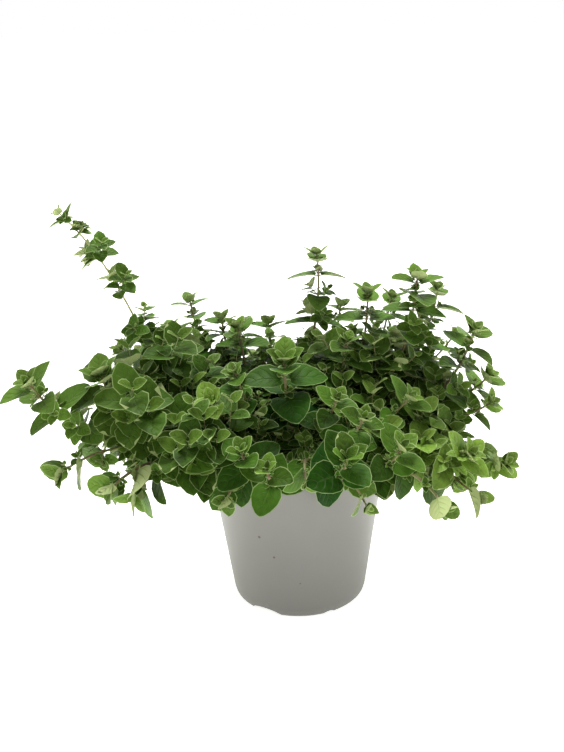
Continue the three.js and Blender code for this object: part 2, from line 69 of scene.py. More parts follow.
MM = 0.001
RIGHT, BACK, UP = np.eye(3)
LEVEL = RIGHT + BACK  # times a direction, it leaves the level part
QUARTER = math.pi / 2

# Pot and soil, as in the frame
PAD_RADIUS, CHANNEL_INNER, CHANNEL_OUTER, CHANNEL_LIFT = 15, 18, 40, 5
FOOT_INNER, FOOT_OUTER, HEEL_RADIUS, HEEL_HEIGHT = 43, 46, 48.7, 5.2
LEDGE_RADIUS, LEDGE_HEIGHT, RIM_RADIUS, RIM_HEIGHT, WALL = 63.1, 104, 65, 111, 1.2
DRAIN = {"count": 6, "radius": 4, "circle": 29, "top": 14, "bottom": -4}
ARCH = {"count": 3, "first": -123, "width": 24, "height": 4.6}
NOTCH = {"count": 3, "first": -65, "width": 8, "height": 2.4}
# How far out the foot's gaps are cut from and to, the points round a gap, the sides of a
# drain hole, and past how many degrees the pot's edges are sharp
CUT_INNER, CUT_OUTER, ARCH_POINTS, DRAIN_SIDES, POT_CREASE = 42, 52, 24, 32, 40
SOIL_TOP, SOIL_EDGE = 97, 1

# Stems, as in the frame
FOOT_DEPTH, STUB, ROOT_LIMIT, FOOT_WIDTH = 10, 4, 44, 3
LEAVE_PULL, ARRIVE_PULL, SWAY, TAPER = 0.45, 0.35, 0.1, 0.55
FIRST_PAIR, CROWDING, STRETCH = 1.4, 0.4, 2
THIN, STOUT = 0.55, 0.026
WISPY_BLADE = (22, 15)  # largest leaf of a sturdy young shoot, and of a thin pale one

# Leaves, as in the frame
BLADE, WIDTH_SHARE, ARCHED, ARCH_SPREAD, CUPPED = 0.75, 0.42, 0.16, 0.8, 0.22
TURN_TO_LIGHT, LIGHT_OUTWARD, LIGHT_FRONT = 0.9, 0.45, 0.3
DROOP, HANG = 0.3, 0.5
TRAIL_FROM, TRAIL_RANGE, TRAIL_DROOP = 20, 40, 0.8
LIFT_YOUNG, LIFT_OLD, LIFT_FADE, LIFT_SPREAD = 1.25, 0.1, 1.3, 0.3
SIZE_YOUNG, SIZE_FADE, SIZE_SPREAD, SWING = 0.55, 1, 0.2, 0.4
POSES = np.array([[0, 0], [0.3, 0], [-0.3, 0], [0, 0.35], [0, -0.35], [0.4, 0.4],
                  [0.4, -0.4], [-0.35, 0.4], [-0.35, -0.4], [0.8, 0], [0, 0.75], [0, -0.75]])
SCALES = np.array([1, 0.82, 0.64])
NEAR = 0.02  # how close a planned leaf tip is to the frame's corner

# Shoots, as in the frame: the tip's place, the lean from upright, how far the tip points
# above level, the pairs of leaves, the length of the largest leaf, the joint between the
# youngest pairs, how young it is and, where it is set, how its pairs turn
SHOOTS = [
    (-7, -46, 190, 24, 80, 6, 29, 2.2, 0, 15), (42, -76, 161, 38, 62, 4, 19, 2.1, 0.3),
    (-55, -56, 168, 40, 50, 4, 22, 2.7, 0.8), (-41, -34, 180, 30, 66, 4, 18, 2.1, 0.2),
    (26, -58, 168, 34, 62, 4, 19, 2.1, 0.2, 45), (-20, -98, 137, 44, 76, 4, 22, 3.3, 0.2),
    (42, -93, 108, 48, -40, 3, 20, 4, 0.5), (-46, -88, 114, 50, -46, 3, 24, 4, 0.1),
    (30, -96, 142, 46, 74, 5, 28, 3.3, 0, 0), (-36, -88, 146, 44, 74, 4, 23, 3.3, 0.1, 45),
    (4, -97, 128, 48, -36, 3, 23, 4, 0.2), (66, -76, 140, 48, 70, 4, 25, 3.3, 0.2, 0),
    (111, -70, 132, 52, 44, 5, 25, 3.6, 0.9, 15), (138, -50, 116, 54, 20, 5, 25, 4, 0.8, 30),
    (92, -84, 103, 44, -40, 4, 26, 3.3, 0.2), (118, -64, 99, 48, -30, 4, 25, 3.6, 0.6),
    (125, 0, 194, 58, 76, 6, 24, 2.4, 0.3, 45), (138, 8, 158, 62, 50, 4, 22, 2.4, 0.3),
    (134, -20, 148, 60, 40, 4, 20, 2.7, 0.5), (76, -38, 160, 48, 50, 4, 22, 2.7, 0.2),
    (72, -4, 174, 42, 62, 4, 21, 2.4, 0.1), (100, 28, 178, 48, 66, 5, 22, 2.4, 0.1),
    (86, 8, 231, 40, 86, 6, 24, 2, 0.2, 0), (103, 26, 218, 44, 78, 6, 21, 2.4, 0.2, 45),
    (52, 10, 221, 24, 90, 4, 23, 3.3, 0.2, 75), (18, 30, 244, 12, 88, 6, 22, 2.5, 0.2, 30),
    (36, -10, 192, 24, 80, 4, 23, 2.4, 0.1), (-39, 16, 197, 28, 80, 5, 23, 2.4, 0.1),
    (-154, 0, 284, 43, 46, 6, 15, 3.4, 0.8), (-172, -58, 185, 62, 62, 6, 25, 2.7, 0.2, 0),
    (-127, -46, 184, 62, 76, 3, 29, 2.2, 0.1, 90),
    (-118, -86, 124, 56, -34, 4, 29, 3.6, 0.1),
    (-156, -60, 123, 62, -25, 5, 26, 2.7, 0.2, 30),
    (-105, -86, 117, 52, -50, 3, 26, 3.6, 0.2, 15), (-92, -38, 158, 50, 46, 4, 26, 3, 0.1),
    (-78, -62, 141, 44, 42, 4, 26, 3.6, 0.2), (-103, 6, 192, 50, 62, 5, 24, 2.7, 0.1),
    (-124, 28, 180, 54, 58, 5, 21, 2.4, 0.1), (-142, -12, 156, 54, 36, 4, 22, 2.7, 0.2),
    (-88, 34, 192, 46, 72, 5, 22, 2.4, 0.1), (-76, 64, 205, 44, 82, 5, 19, 2.1, 0.2),
    (-52, 48, 195, 36, 82, 5, 20, 2.1, 0.1), (-18, 64, 186, 30, 80, 4, 20, 2.1, 0.1),
    (38, 86, 192, 42, 76, 5, 20, 2.1, 0.1), (74, 58, 204, 42, 78, 5, 21, 2.4, 0.2),
    (122, 64, 172, 54, 54, 4, 21, 2.4, 0.2), (80, 110, 154, 56, 36, 4, 22, 2.7, 0.2),
    (18, 128, 150, 54, 34, 4, 22, 2.7, 0.2), (-50, 118, 158, 54, 42, 4, 22, 2.7, 0.2),
    (-118, 92, 154, 56, 36, 4, 22, 2.7, 0.2), (46, 104, 122, 46, -8, 4, 22, 2.7, 0.2),
    (-26, 100, 120, 46, -6, 4, 22, 2.7, 0.2), (-88, 66, 132, 50, 8, 4, 22, 2.7, 0.2),
    (100, 62, 132, 50, 8, 4, 22, 2.7, 0.2), (0, 24, 172, 14, 70, 3, 22, 2.4, 0.1),
]

# Bud and crown: the young pairs' gap, lift, turn, root and arch, their four leaves as shares
# of the largest, and how much longer those are round the crowns of the largest shoots
BUD_GAP, BUD_LIFT, BUD_TURN, BUD_ROOT, BUD_ARCHED = 0.35, (0.25, 0.65), 0.3, 0.4, 0.1
BUD_SHARES, CROWN_MORE, CROWN_BLADE = np.array([0.44, 0.4, 0.26, 0.24]), 14, (24, 29)

# Youth, from 0 for mature green to 1: of the frame's leaves, what a young shoot has, what
# thin pale ones lack of it, and what the tip adds and how soon that fades; of a bud's leaves;
# and of a side shoot's, what all have, what a young shoot adds and what the tip adds
YOUNG_MAIN, WISPY_LESS, YOUNG_TIP, YOUNG_FADE, YOUNG_BUD = 0.85, 0.7, 0.4, 1.1, 0.46
YOUNG_SIDE, YOUNG_SIDE_MORE, YOUNG_SIDE_TIP = 0.2, 0.6, 0.3

# Side shoots: ways they may go, as how steeply up their stem and how far aside; the distance
# to what is near that counts as most and as least room; how much a step up is worth against
# it; how far round them is near, in their own length and their leaves'; how far they bend
# up; and how they shrink, and by how many pairs, when they find no room
WAYS = np.array([[rise, aside] for rise in (0.4, 0.9, 1.5)
                 for aside in (0, 0.55, -0.55, 1.1, -1.1)])
MOST_ROOM, LEAST_ROOM, HIGH_WORTH, NEAR_REACH, NEAR_LEAF, BEND = 7.0, 0.8, 0.04, 1.4, 2, 0.3
SHRINK = ((1, 0), (0.75, 0), (0.55, 1))
# Their pairs of leaves crowd towards the tip, and are lifted, turned, sized and arched
CROWD, CROWD_CURVE, SIDE_DROOP, SIDE_TURN = 0.85, 1.15, 0.15, 0.5
SIDE_LIFT_YOUNG, SIDE_LIFT_OLD, SIDE_LIFT_FADE, SIDE_LIFT_SPREAD = 1.1, 0.15, 1.2, 0.3
SIDE_YOUNGEST, SIDE_FADE, SIDE_SPREAD, SIDE_ARCHED, SIDE_ARCH_SPREAD = 0.5, 0.9, 0.3, 0.12, 0.1
# They start this far above a pair, and branches no lower than this on the stem. Tufts are
# full so far from the tip, and branches so far below the lowest pair. They gain a pair of
# leaves at each of these shares of full, and lush ones another.
AXIL, LOWEST, TUFT_FULL, BRANCH_FULL = 0.8, 4, 42, 24
TUFT_PAIRS, BRANCH_PAIR, LUSH = (0.15, 0.4, 0.8), 0.3, 0.7
# Their leaves' size, as a share, and their length: at first, and what they gain when full.
# Chance then scales a branch's leaves, its length at full and the joints between branches.
TUFT_LEAF, TUFT_REACH, TUFT_CURVE = (0.45, 0.5), (1.5, 12), 1.7
BRANCH_LEAF, BRANCH_REACH = (0.5, 1.1), (0.25, 0.75)
LEAF_CHANCE, REACH_CHANCE, JOINT_CHANCE = (0.7, 0.6), (14, 26), (0.85, 0.3)
# Shoots whose tips are this far in front of the pot, and not to its sides, get theirs later
FRONT_DEPTH, FRONT_WIDTH, FRONT_LATER = (0, -60), (110, 80), 2.0
INNER_PAINTED_SHADE = 0.45  # how light the leaves of branches are, as a share of the rest: painted shade deep in the bush
HEM, HEM_YOUNG = 114, 24  # no side shoot hangs below the one, less the other on young growth
CLEAR = 3  # what side shoots keep from the pot's rim and the soil

# Fine leaves: rings along one and lines above and below, as shares of length and half width
LARGE = {"rows": [0, 0.09, 0.12, 0.19, 0.36, 0.58, 0.8, 0.95, 0.998],
         "above": [-1, -0.55, 0, 0.55, 1], "below": [0.55, 0, -0.55]}
SMALL = {"rows": [0, 0.1, 0.17, 0.4, 0.7, 0.92, 0.995],
         "above": [-1, -0.5, 0, 0.5, 1], "below": [0]}
# The stalk's share of the length, its half thickness and what that gains with length, where
# it becomes the blade, and how deep it is rooted, in half widths of the stem
STALK, STALK_HALF, STALK_GAIN, STALK_END, ROOTED = 0.1, 0.2, 0.014, (0.04, 0.2), 0.6
WIDER, NARROWER = 0.1, 0.14  # with the tone, and with youth
WIDEST, ROUND, POINTED = 0.68, 0.5, (-0.08, 0.42)  # powers of the outline
LOBE_CURVE, LOBE_START = 1.6, 0.03
FOLD, FOLD_ROUND, TWIST = (0.7, 0.9), 0.3, 0.3
WAVE, WAVE_ALONG, WAVE_TONE, WAVE_SIDE = 0.016, 9.0, 40, 1.3
VEINS, VEIN_SLANT, VEIN_CURVE = 4.4, 0.32, 0.16  # side veins for each leaf length
RIM_SCALE = 12  # mm in from the edge for a step of one in the map's second number
LEAF_CREASE = 76  # degrees, past which an edge is sharp: a leaf's edge, not a twig's corner

# Fine stems: the rings' gap, the swelling at each joint, the corners and the taper by the bud
RING_GAP, JOINT_SWELL, JOINT_LENGTH, CORNER, TIP_TAPER = 3, 0.22, 1.3, 1.24, 0.75
TWIG_SIDES, TWIG_FOOT, TWIG_MIDDLE, TWIG_TIP = 5, 0.42, 0.3, 0.26
# Hairs: the share of their length that they are wide, and by chance their turn, lean, length
HAIR_WIDTH, HAIR_TURN, HAIR_LEAN, HAIR_LENGTH = 0.05, 1.2, (0.2, 0.6), (0.5, 0.7)

# Fine soil: its sides and rings, its gap to the pot, how far it sinks under its heaves, past
# how many degrees an edge is sharp, each heave's height and width, and the sides, rings and
# size of a crumb
SOIL_SIDES, SOIL_RINGS, SOIL_GAP, SOIL_SINK, SOIL_CREASE = 144, 46, 0.5, 0.6, 60
HEAVES = ((2.2, 14), (1.3, 4), (0.8, 1.7))
CRUMB_SIDES, CRUMB_RINGS, CRUMB_SIZE = 6, np.array([-0.85, 0, 0.85]), (0.6, 1.5)

# Studio: the floor's top, under the pot's foot, its thickness and half its side; how many
# degrees wide the softbox looks, and the way that its light goes
FLOOR_TOP, FLOOR_THICK, FLOOR_HALF = -0.2, 6, 40000
SOFTBOX_WIDTH, SOFTBOX_WAY = 32, (0.03, -0.4, -1)


# Small sums on arrays of points

def unit(v):
    return v / np.linalg.norm(v, axis=-1, keepdims=True)


def dot(a, b):
    return (a * b).sum(-1, keepdims=True)


def column(x):
    """Numbers with an axis added, so that they multiply points."""
    return np.asarray(x)[..., None]


def turned(side, other, angle):
    """The direction at an angle from one direction towards another."""
    return side * np.cos(column(angle)) + other * np.sin(column(angle))


def gains(start, more, share):
    """The start and a share of more."""
    return start + more * share


def round_angles(count):
    """So many angles evenly round a turn."""
    return np.linspace(0, 2 * math.pi, count, endpoint=False)


def smooth(low, high, x):
    """The S-shaped step from 0 at low to 1 at high: 3x squared less 2x cubed."""
    x = np.clip((x - low) / (high - low), 0, 1)
    return x * x * (3 - 2 * x)


def draw(shoot, pair, use):
    """A repeatable number from 0 to 1: what is left of a large multiple of a sine."""
    wave = np.sin((shoot + 1) * 12.9898 + pair * 78.233 + use * 37.719) * 43758.5453
    return wave - np.floor(wave)


# The plan of the stems and leaves

class StemLine:
    """A stem's line: a cubic Bezier from the top of its upright stub to its tip."""

    def __init__(self, number, foot):
        x, y, z, lean, nod, self.pairs, self.blade, self.joint, self.young, *turn = SHOOTS[number]
        tip = np.array([x, y, z], float)
        outward = unit((tip - foot) * LEVEL)
        span = np.linalg.norm(tip - foot)
        sway = (2 * draw(number, 0, 1) - 1) * SWAY * span
        self.number, self.level = number, np.cross(UP, outward)
        self.ends = np.array([
            foot,
            foot + turned(UP, outward, math.radians(lean)) * LEAVE_PULL * span
            + self.level * sway,
            tip - turned(outward, UP, math.radians(nod)) * ARRIVE_PULL * span
            - self.level * sway / 2,
            tip])
        self.shares = np.linspace(0, 1, 201)
        chords = np.linalg.norm(np.diff(self.point(self.shares), axis=0), axis=1)
        self.reach = np.append(0, np.cumsum(chords))
        self.length = self.reach[-1]
        self.trail = min(max((TRAIL_FROM - nod) / TRAIL_RANGE, 0), 1)
        self.foot_half = THIN + STOUT * self.blade
        self.wispy = smooth(*WISPY_BLADE, self.blade)
        self.roll = math.radians(turn[0]) if turn else draw(number, 0, 2) * QUARTER

    def point(self, t):
        """The Bezier sum of the four ends, weighted 1, 3, 3 and 1 by powers of t."""
        t = column(t)
        a, b, c, d = self.ends
        return (1 - t) ** 3 * a + 3 * (1 - t) ** 2 * t * b + 3 * (1 - t) * t * t * c + t ** 3 * d

    def facing(self, along, face):
        """Centre, tangent, outward direction of one face and half width at distances from the
        foot. Below the foot the line goes straight down, and past the tip straight on."""
        along = np.asarray(along, float)
        share = np.clip(along / self.length, 0, 1)
        t = np.interp(share * self.length, self.reach, self.shares)
        tangent = unit(self.point(np.clip(t + 1e-4, 0, 1)) - self.point(np.clip(t - 1e-4, 0, 1)))
        tangent = np.where(column(share) <= 0, UP, tangent)
        side = unit(self.level - dot(self.level, tangent) * tangent)
        past = np.clip(along, None, 0) + np.clip(along - self.length, 0, None)
        centre = self.point(t) + tangent * column(past)
        out = turned(side, np.cross(tangent, side), self.roll + face * QUARTER)
        return centre, tangent, out, self.foot_half * (1 - (1 - TAPER) * share)

    def pair_distance(self, pair):
        """From the tip down to a pair: the distances grow with the square of its number."""
        return np.maximum(FIRST_PAIR, self.joint * (pair + CROWDING) ** STRETCH)


def plan_leaves(centre, tangent, out, rise, turn, droop, hang=HANG, **each):
    """Leaves as arrays: each points out of its stem, lifted and turned, and hangs a little;
    its upper face is then turned most of the way to the light."""
    level = np.cross(tangent, out)
    ahead = turned(out, level, turn) + tangent * column(rise) - UP * column(droop)
    ahead[..., 2] *= np.where(ahead[..., 2] < 0, hang, 1)
    ahead = unit(ahead)
    light = unit(unit(centre * LEVEL) * LIGHT_OUTWARD + np.array([0, -LIGHT_FRONT, 1]))
    normal = unit(np.cross(ahead, level)) + TURN_TO_LIGHT * (light - ahead * dot(light, ahead))
    normal = unit(normal)
    each = {name: np.broadcast_to(x, ahead.shape[:-1]) for name, x in each.items()}
    return SimpleNamespace(root=centre + out * column(each["half"]), ahead=ahead,
                           across=np.cross(normal, ahead), normal=normal, **each)


def pick(leaves, which):
    return SimpleNamespace(**{name: x[which] for name, x in vars(leaves).items()})


def gather(several):
    """One set of leaves out of several, each a flat list."""
    return SimpleNamespace(**{
        name: np.concatenate([getattr(leaves, name) for leaves in several])
        for name in vars(several[0])})


def leaf_point(leaves, along, across, above):
    """Root, plus so far along, across and above the middle, where a leaf's edges rise with
    their distance from the rib and its tip drops with the square of the way along."""
    rise = CUPPED * abs(across) - leaves.arched * along ** 2 / leaves.length + above
    return (leaves.root + leaves.ahead * column(along) + leaves.across * column(across)
            + leaves.normal * column(rise))


def stem_leaves(line, corners):
    """The leaves that the frame's stem holds: of all poses that the plan allows, the first
    one whose upper tip is a corner of that stem. They are younger towards the tip."""
    pair, side, scale, pose = np.meshgrid(
        range(line.pairs), [0, 1], range(len(SCALES)), range(len(POSES)), indexing="ij")
    chance = [draw(line.number, pair, 3 + 4 * side + more) - 0.5 for more in range(4)]
    grown = 1 - (1 - SIZE_YOUNG) * np.exp(-pair / SIZE_FADE)
    centre, tangent, out, half = line.facing(
        line.length - line.pair_distance(pair), pair % 2 + 2 * side)
    youth = (YOUNG_MAIN * line.young * (1 - WISPY_LESS * line.wispy)
             + YOUNG_TIP * np.exp(-pair / YOUNG_FADE))
    leaves = plan_leaves(
        centre, tangent, out, half=half, hang=HANG + (1 - HANG) * line.trail,
        rise=LIFT_YOUNG * np.exp(-pair / LIFT_FADE) + LIFT_OLD + LIFT_SPREAD * chance[0]
        + POSES[pose, 0],
        turn=SWING * chance[1] + POSES[pose, 1],
        droop=(DROOP + TRAIL_DROOP * line.trail) * grown,
        length=line.blade * grown * (1 + SIZE_SPREAD * chance[2]) * SCALES[scale],
        arched=ARCHED * (1 + ARCH_SPREAD * chance[3]), youth=np.clip(youth, 0, 1),
        tone=draw(line.number, pair, 20 + side))
    tips = leaf_point(leaves, leaves.length, 0, BLADE / 2)
    fits = np.linalg.norm(tips[..., None, :] - corners, axis=-1).min(-1) < NEAR
    each = fits.reshape(line.pairs, 2, -1)
    held = np.nonzero(each.any(-1))
    return pick(leaves, (*held, *np.unravel_index(each.argmax(-1)[held], fits.shape[2:])))


def bud_leaves(line):
    """Two young pairs in a stem's tip: one spreads across the frame's last pair and makes a
    crown with it, and one stands up round the bud."""
    pair, side = np.array([1, 1, 2, 2]), np.array([0, 1, 0, 1])
    centre, tangent, out, half = line.facing(line.length + BUD_GAP * pair, pair % 2 + 2 * side)
    crown = line.blade + CROWN_MORE * smooth(*CROWN_BLADE, line.blade)
    return plan_leaves(
        centre, tangent, out, half=BUD_ROOT * half, rise=gains(*BUD_LIFT, pair),
        turn=BUD_TURN * (side - 0.5), droop=0, length=crown * BUD_SHARES, arched=BUD_ARCHED,
        youth=YOUNG_BUD + (1 - YOUNG_BUD) * line.young * (1 - line.wispy),
        tone=draw(line.number, pair, 30 + side))


# The side shoots that fill the bush

class Room:
    """The points that leaves, stems and the pot already take."""

    def __init__(self):
        angle, height = np.meshgrid(np.radians(np.arange(0, 360, 4)), np.arange(60, 112, 4))
        wall = HEEL_RADIUS + (RIM_RADIUS - HEEL_RADIUS) * height / RIM_HEIGHT
        pot = turned(RIGHT, BACK, angle) * column(wall) + UP * column(height)
        self.points = pot.reshape(-1, 3)
        self.low, self.high = (np.array(corner) / MM for corner in CAD_BOX)

    def take(self, *points):
        self.points = np.concatenate([self.points, *(p.reshape(-1, 3) for p in points)])

    def take_leaves(self, leaves):
        for along in (0.3, 0.6, 0.95):
            for across in (-0.6, 0, 0.6):
                width = across * WIDTH_SHARE * leaves.length * (along < 0.9)
                self.take(leaf_point(leaves, along * leaves.length, width, 0))

    def free(self, base, reach, points, hem):
        """How far each point is from the nearest one taken, out of those near the base: the
        square root of both squared lengths less twice their product. Points in the pot or
        the soil, below the hem or outside the frame's box have no room at all."""
        near = self.points[np.linalg.norm(self.points - base, axis=1) < reach] - base
        flat = points.reshape(-1, 3) - base
        square = (flat ** 2).sum(1)[:, None] + (near ** 2).sum(1) - 2 * flat @ near.T
        free = np.sqrt(np.clip(square.min(1, initial=reach ** 2), 0, None))
        within = np.linalg.norm(points[..., :2], axis=-1) < RIM_RADIUS - CLEAR
        sunk = points[..., 2] < np.where(within, SOIL_TOP + CLEAR, hem)
        outside = ((points < self.low) | (points > self.high)).any(-1)
        return np.where(sunk | outside, -1, free.reshape(points.shape[:-1]))


def side_shoot(line, along, face, pairs, leaf, reach, room, key):
    """A shoot out of a leaf's axil: a line that bends up with the square of the way along,
    with crossed pairs of leaves that crowd towards its tip. Of several ways it takes the
    roomiest, and of equally roomy ones the highest."""
    centre, tangent, out, half = line.facing(np.array(along), np.array(face))
    level = np.cross(tangent, out)
    way = unit(turned(out, level, WAYS[:, 1]) + tangent * WAYS[:, :1])
    base = centre + out * 0.5 * half
    number, hand = np.repeat(np.arange(pairs), 2), np.tile([0, 1], pairs)
    at = 1 - CROWD * (number / pairs) ** CROWD_CURVE
    heart = base + way[:, None] * column(at * reach) + UP * column(BEND * reach * at ** 2)
    going = unit(way[:, None] + UP * column(2 * BEND * at))
    flat = unit(np.cross(way, UP + 0.01 * level))[:, None]
    crossed = np.where(column(number % 2 == 0), flat, np.cross(going, flat))
    sprout = unit(crossed - going * dot(crossed, going)) * column(np.where(hand == 0, 1, -1))
    luck = [draw(line.number, key + number, 40 + 4 * hand + more) - 0.5 for more in range(4)]
    youth = (YOUNG_SIDE + YOUNG_SIDE_MORE * line.young * (1 - line.wispy)
             + YOUNG_SIDE_TIP * (number == 0))
    leaves = plan_leaves(
        heart, going, sprout, half=TWIG_MIDDLE, droop=SIDE_DROOP, turn=SIDE_TURN * luck[1],
        rise=SIDE_LIFT_YOUNG * np.exp(-number / SIDE_LIFT_FADE) + SIDE_LIFT_OLD
        + SIDE_LIFT_SPREAD * luck[0],
        length=leaf * (1 - SIDE_YOUNGEST * np.exp(-number / SIDE_FADE))
        * (1 + SIDE_SPREAD * luck[2]),
        arched=SIDE_ARCHED + SIDE_ARCH_SPREAD * luck[3], youth=np.clip(youth, 0, 1),
        tone=luck[3] + 0.5)
    samples = np.stack([leaf_point(leaves, leaves.length * share, 0, 0)
                        for share in (0.5, 0.75, 1.0)], -2)
    samples = samples.reshape(len(WAYS), -1, 3)
    hem = HEM - HEM_YOUNG * line.young
    free = room.free(base, NEAR_REACH * reach + NEAR_LEAF * leaf, samples, hem)
    free = np.sort(free, axis=1)
    worst, usual = free[:, 0], free[:, :2 * pairs].mean(1)
    score = np.minimum(usual, MOST_ROOM) + HIGH_WORTH * samples[..., 2].mean(1)
    best = np.where(worst < LEAST_ROOM, -np.inf, score).argmax()
    if worst[best] < LEAST_ROOM:
        return None
    chosen = pick(leaves, best)
    room.take(samples[best], *(
        leaf_point(chosen, chosen.length * 0.6, across * chosen.length, 0)
        for across in (0.25, -0.25)))
    share = np.linspace(0, 1, 5)[:, None]
    path = base + way[best] * reach * share + UP * BEND * reach * share ** 2
    return chosen, path


def side_shoots(line, joint_gap, size, room):
    """A tuft in each axil of each pair, larger further from the tip, and branches on the bare
    stretch below the lowest pair, with their joints a joint gap apart. Lush shoots, which are
    young and not at the front, have larger leaves. What finds no room is tried smaller."""
    x, y, _ = line.ends[3]
    front = smooth(*FRONT_DEPTH, y) * smooth(*FRONT_WIDTH, abs(x))
    later, lush = 1 + (FRONT_LATER - 1) * front, line.young * (1 - front)
    leaf_size = size * line.blade * (1 + lush)
    planned = []
    for pair in range(1, line.pairs):
        down = line.pair_distance(pair)
        grown = min(down / (TUFT_FULL * later), 1)
        pairs = 1 + sum(grown > full for full in TUFT_PAIRS) + (lush > LUSH)
        planned += [(line.length - down + AXIL, pair, side, pairs,
                     gains(*TUFT_LEAF, grown) * leaf_size,
                     gains(*TUFT_REACH, grown ** TUFT_CURVE), 1) for side in (0, 1)]
    pair = line.pairs
    lowest = line.length - line.pair_distance(pair - 1)
    along = lowest - joint_gap
    while along > LOWEST:
        grown = smooth(0, BRANCH_FULL * later, lowest - along)
        for side in (0, 1):
            chance, other = (draw(line.number, pair, use + side) for use in (60, 64))
            planned.append((along, pair, side, 2 + (grown > BRANCH_PAIR) + (chance > 0.5),
                            gains(*BRANCH_LEAF, grown) * leaf_size * gains(*LEAF_CHANCE, other),
                            gains(*REACH_CHANCE, chance) * gains(*BRANCH_REACH, grown),
                            INNER_PAINTED_SHADE))
        along -= joint_gap * gains(*JOINT_CHANCE, draw(line.number, pair, 62))
        pair += 1
    shoots, paths = [], []
    for along, pair, side, pairs, leaf, reach, light in planned:
        for share, fewer in SHRINK:
            made = side_shoot(line, along, pair % 2 + 2 * side, max(pairs - fewer, 1),
                              leaf * (1 + share) / 2, reach * share, room,
                              100 * side + 10 * pair)
            if made:
                # Branch leaves take a lower tone here: painted shade deep in the bush
                made[0].tone = made[0].tone * light
                shoots.append(made[0])
                paths.append(made[1])
                break
    return shoots, paths


# Surfaces

class Mould:
    """Gathers closed skins, with a UV and marks for each point, and makes one mesh of them."""

    def __init__(self):
        self.count, self.kept = 0, {name: [] for name in (
            "points", "uv", "youth", "tone", "corners", "sizes", "finish", "under")}

    def put(self, points, faces, finish=0, uv=(0, 0), youth=0, tone=0):
        """Adds points, and faces as arrays of corners, each with its marks for under."""
        shape = points.shape[:-1]
        added = [("points", points.reshape(-1, 3)),
                 ("uv", np.broadcast_to(uv, shape + (2,)).reshape(-1, 2)),
                 ("youth", np.broadcast_to(youth, shape).ravel()),
                 ("tone", np.broadcast_to(tone, shape).ravel())]
        for corners, under in faces:
            each = corners.shape[:-1]
            added += [("corners", self.count + corners.ravel()),
                      ("sizes", np.full(each, corners.shape[-1]).ravel()),
                      ("finish", np.full(each, finish).ravel()),
                      ("under", np.broadcast_to(under, each).ravel())]
        for name, values in added:
            self.kept[name].append(values)
        self.count += math.prod(shape)

    def tubes(self, points, under=0, youth=0, tone=0, **marks):
        """Joins rings of points, shaped (tubes, rings, around, 3), with four-sided faces
        that look outwards, and closes both ends."""
        index = np.arange(points.size // 3).reshape(points.shape[:3])
        after = np.roll(index, -1, axis=2)
        walls = np.stack([index[:, :-1], index[:, 1:], after[:, 1:], after[:, :-1]], -1)
        ends = np.concatenate([index[:, 0], index[:, -1, ::-1]])
        self.put(points, [(walls, under), (ends, 0)], youth=np.reshape(youth, (-1, 1, 1)),
                 tone=np.reshape(tone, (-1, 1, 1)), **marks)

    def spikes(self, points, **marks):
        """Adds closed three-sided spikes, shaped (spikes, 4, 3) with the point last."""
        index = np.arange(points.size // 3).reshape(-1, 4)
        faces = index[:, [[0, 2, 1], [0, 1, 3], [1, 2, 3], [2, 0, 3]]]
        self.put(points, [(faces, 0)], **marks)

    def mesh(self, name, crease=None):
        """One mesh of it all, shaded smooth but for edges past the crease, in degrees."""
        kept = {name: np.concatenate(parts) for name, parts in self.kept.items()}
        mesh = bpy.data.meshes.new(name)

        def fill(data, key, values, kind=np.float32):
            data.foreach_set(key, values.astype(kind).ravel())

        mesh.vertices.add(len(kept["points"]))
        fill(mesh.vertices, "co", kept["points"] * MM)
        mesh.loops.add(len(kept["corners"]))
        fill(mesh.loops, "vertex_index", kept["corners"], np.int32)
        mesh.polygons.add(len(kept["sizes"]))
        fill(mesh.polygons, "loop_start", np.cumsum(kept["sizes"]) - kept["sizes"], np.int32)
        mesh.update(calc_edges=True)
        fill(mesh.polygons, "material_index", kept["finish"], np.int32)
        fill(mesh.uv_layers.new(name="surface").uv, "vector", kept["uv"][kept["corners"]])
        for mark, domain in (("youth", "POINT"), ("tone", "POINT"), ("under", "FACE")):
            fill(mesh.attributes.new(mark, "FLOAT", domain).data, "value", kept[mark])
        mesh.shade_smooth()
        if crease is not None:
            mesh.set_sharp_from_angle(angle=math.radians(crease))
        return mesh


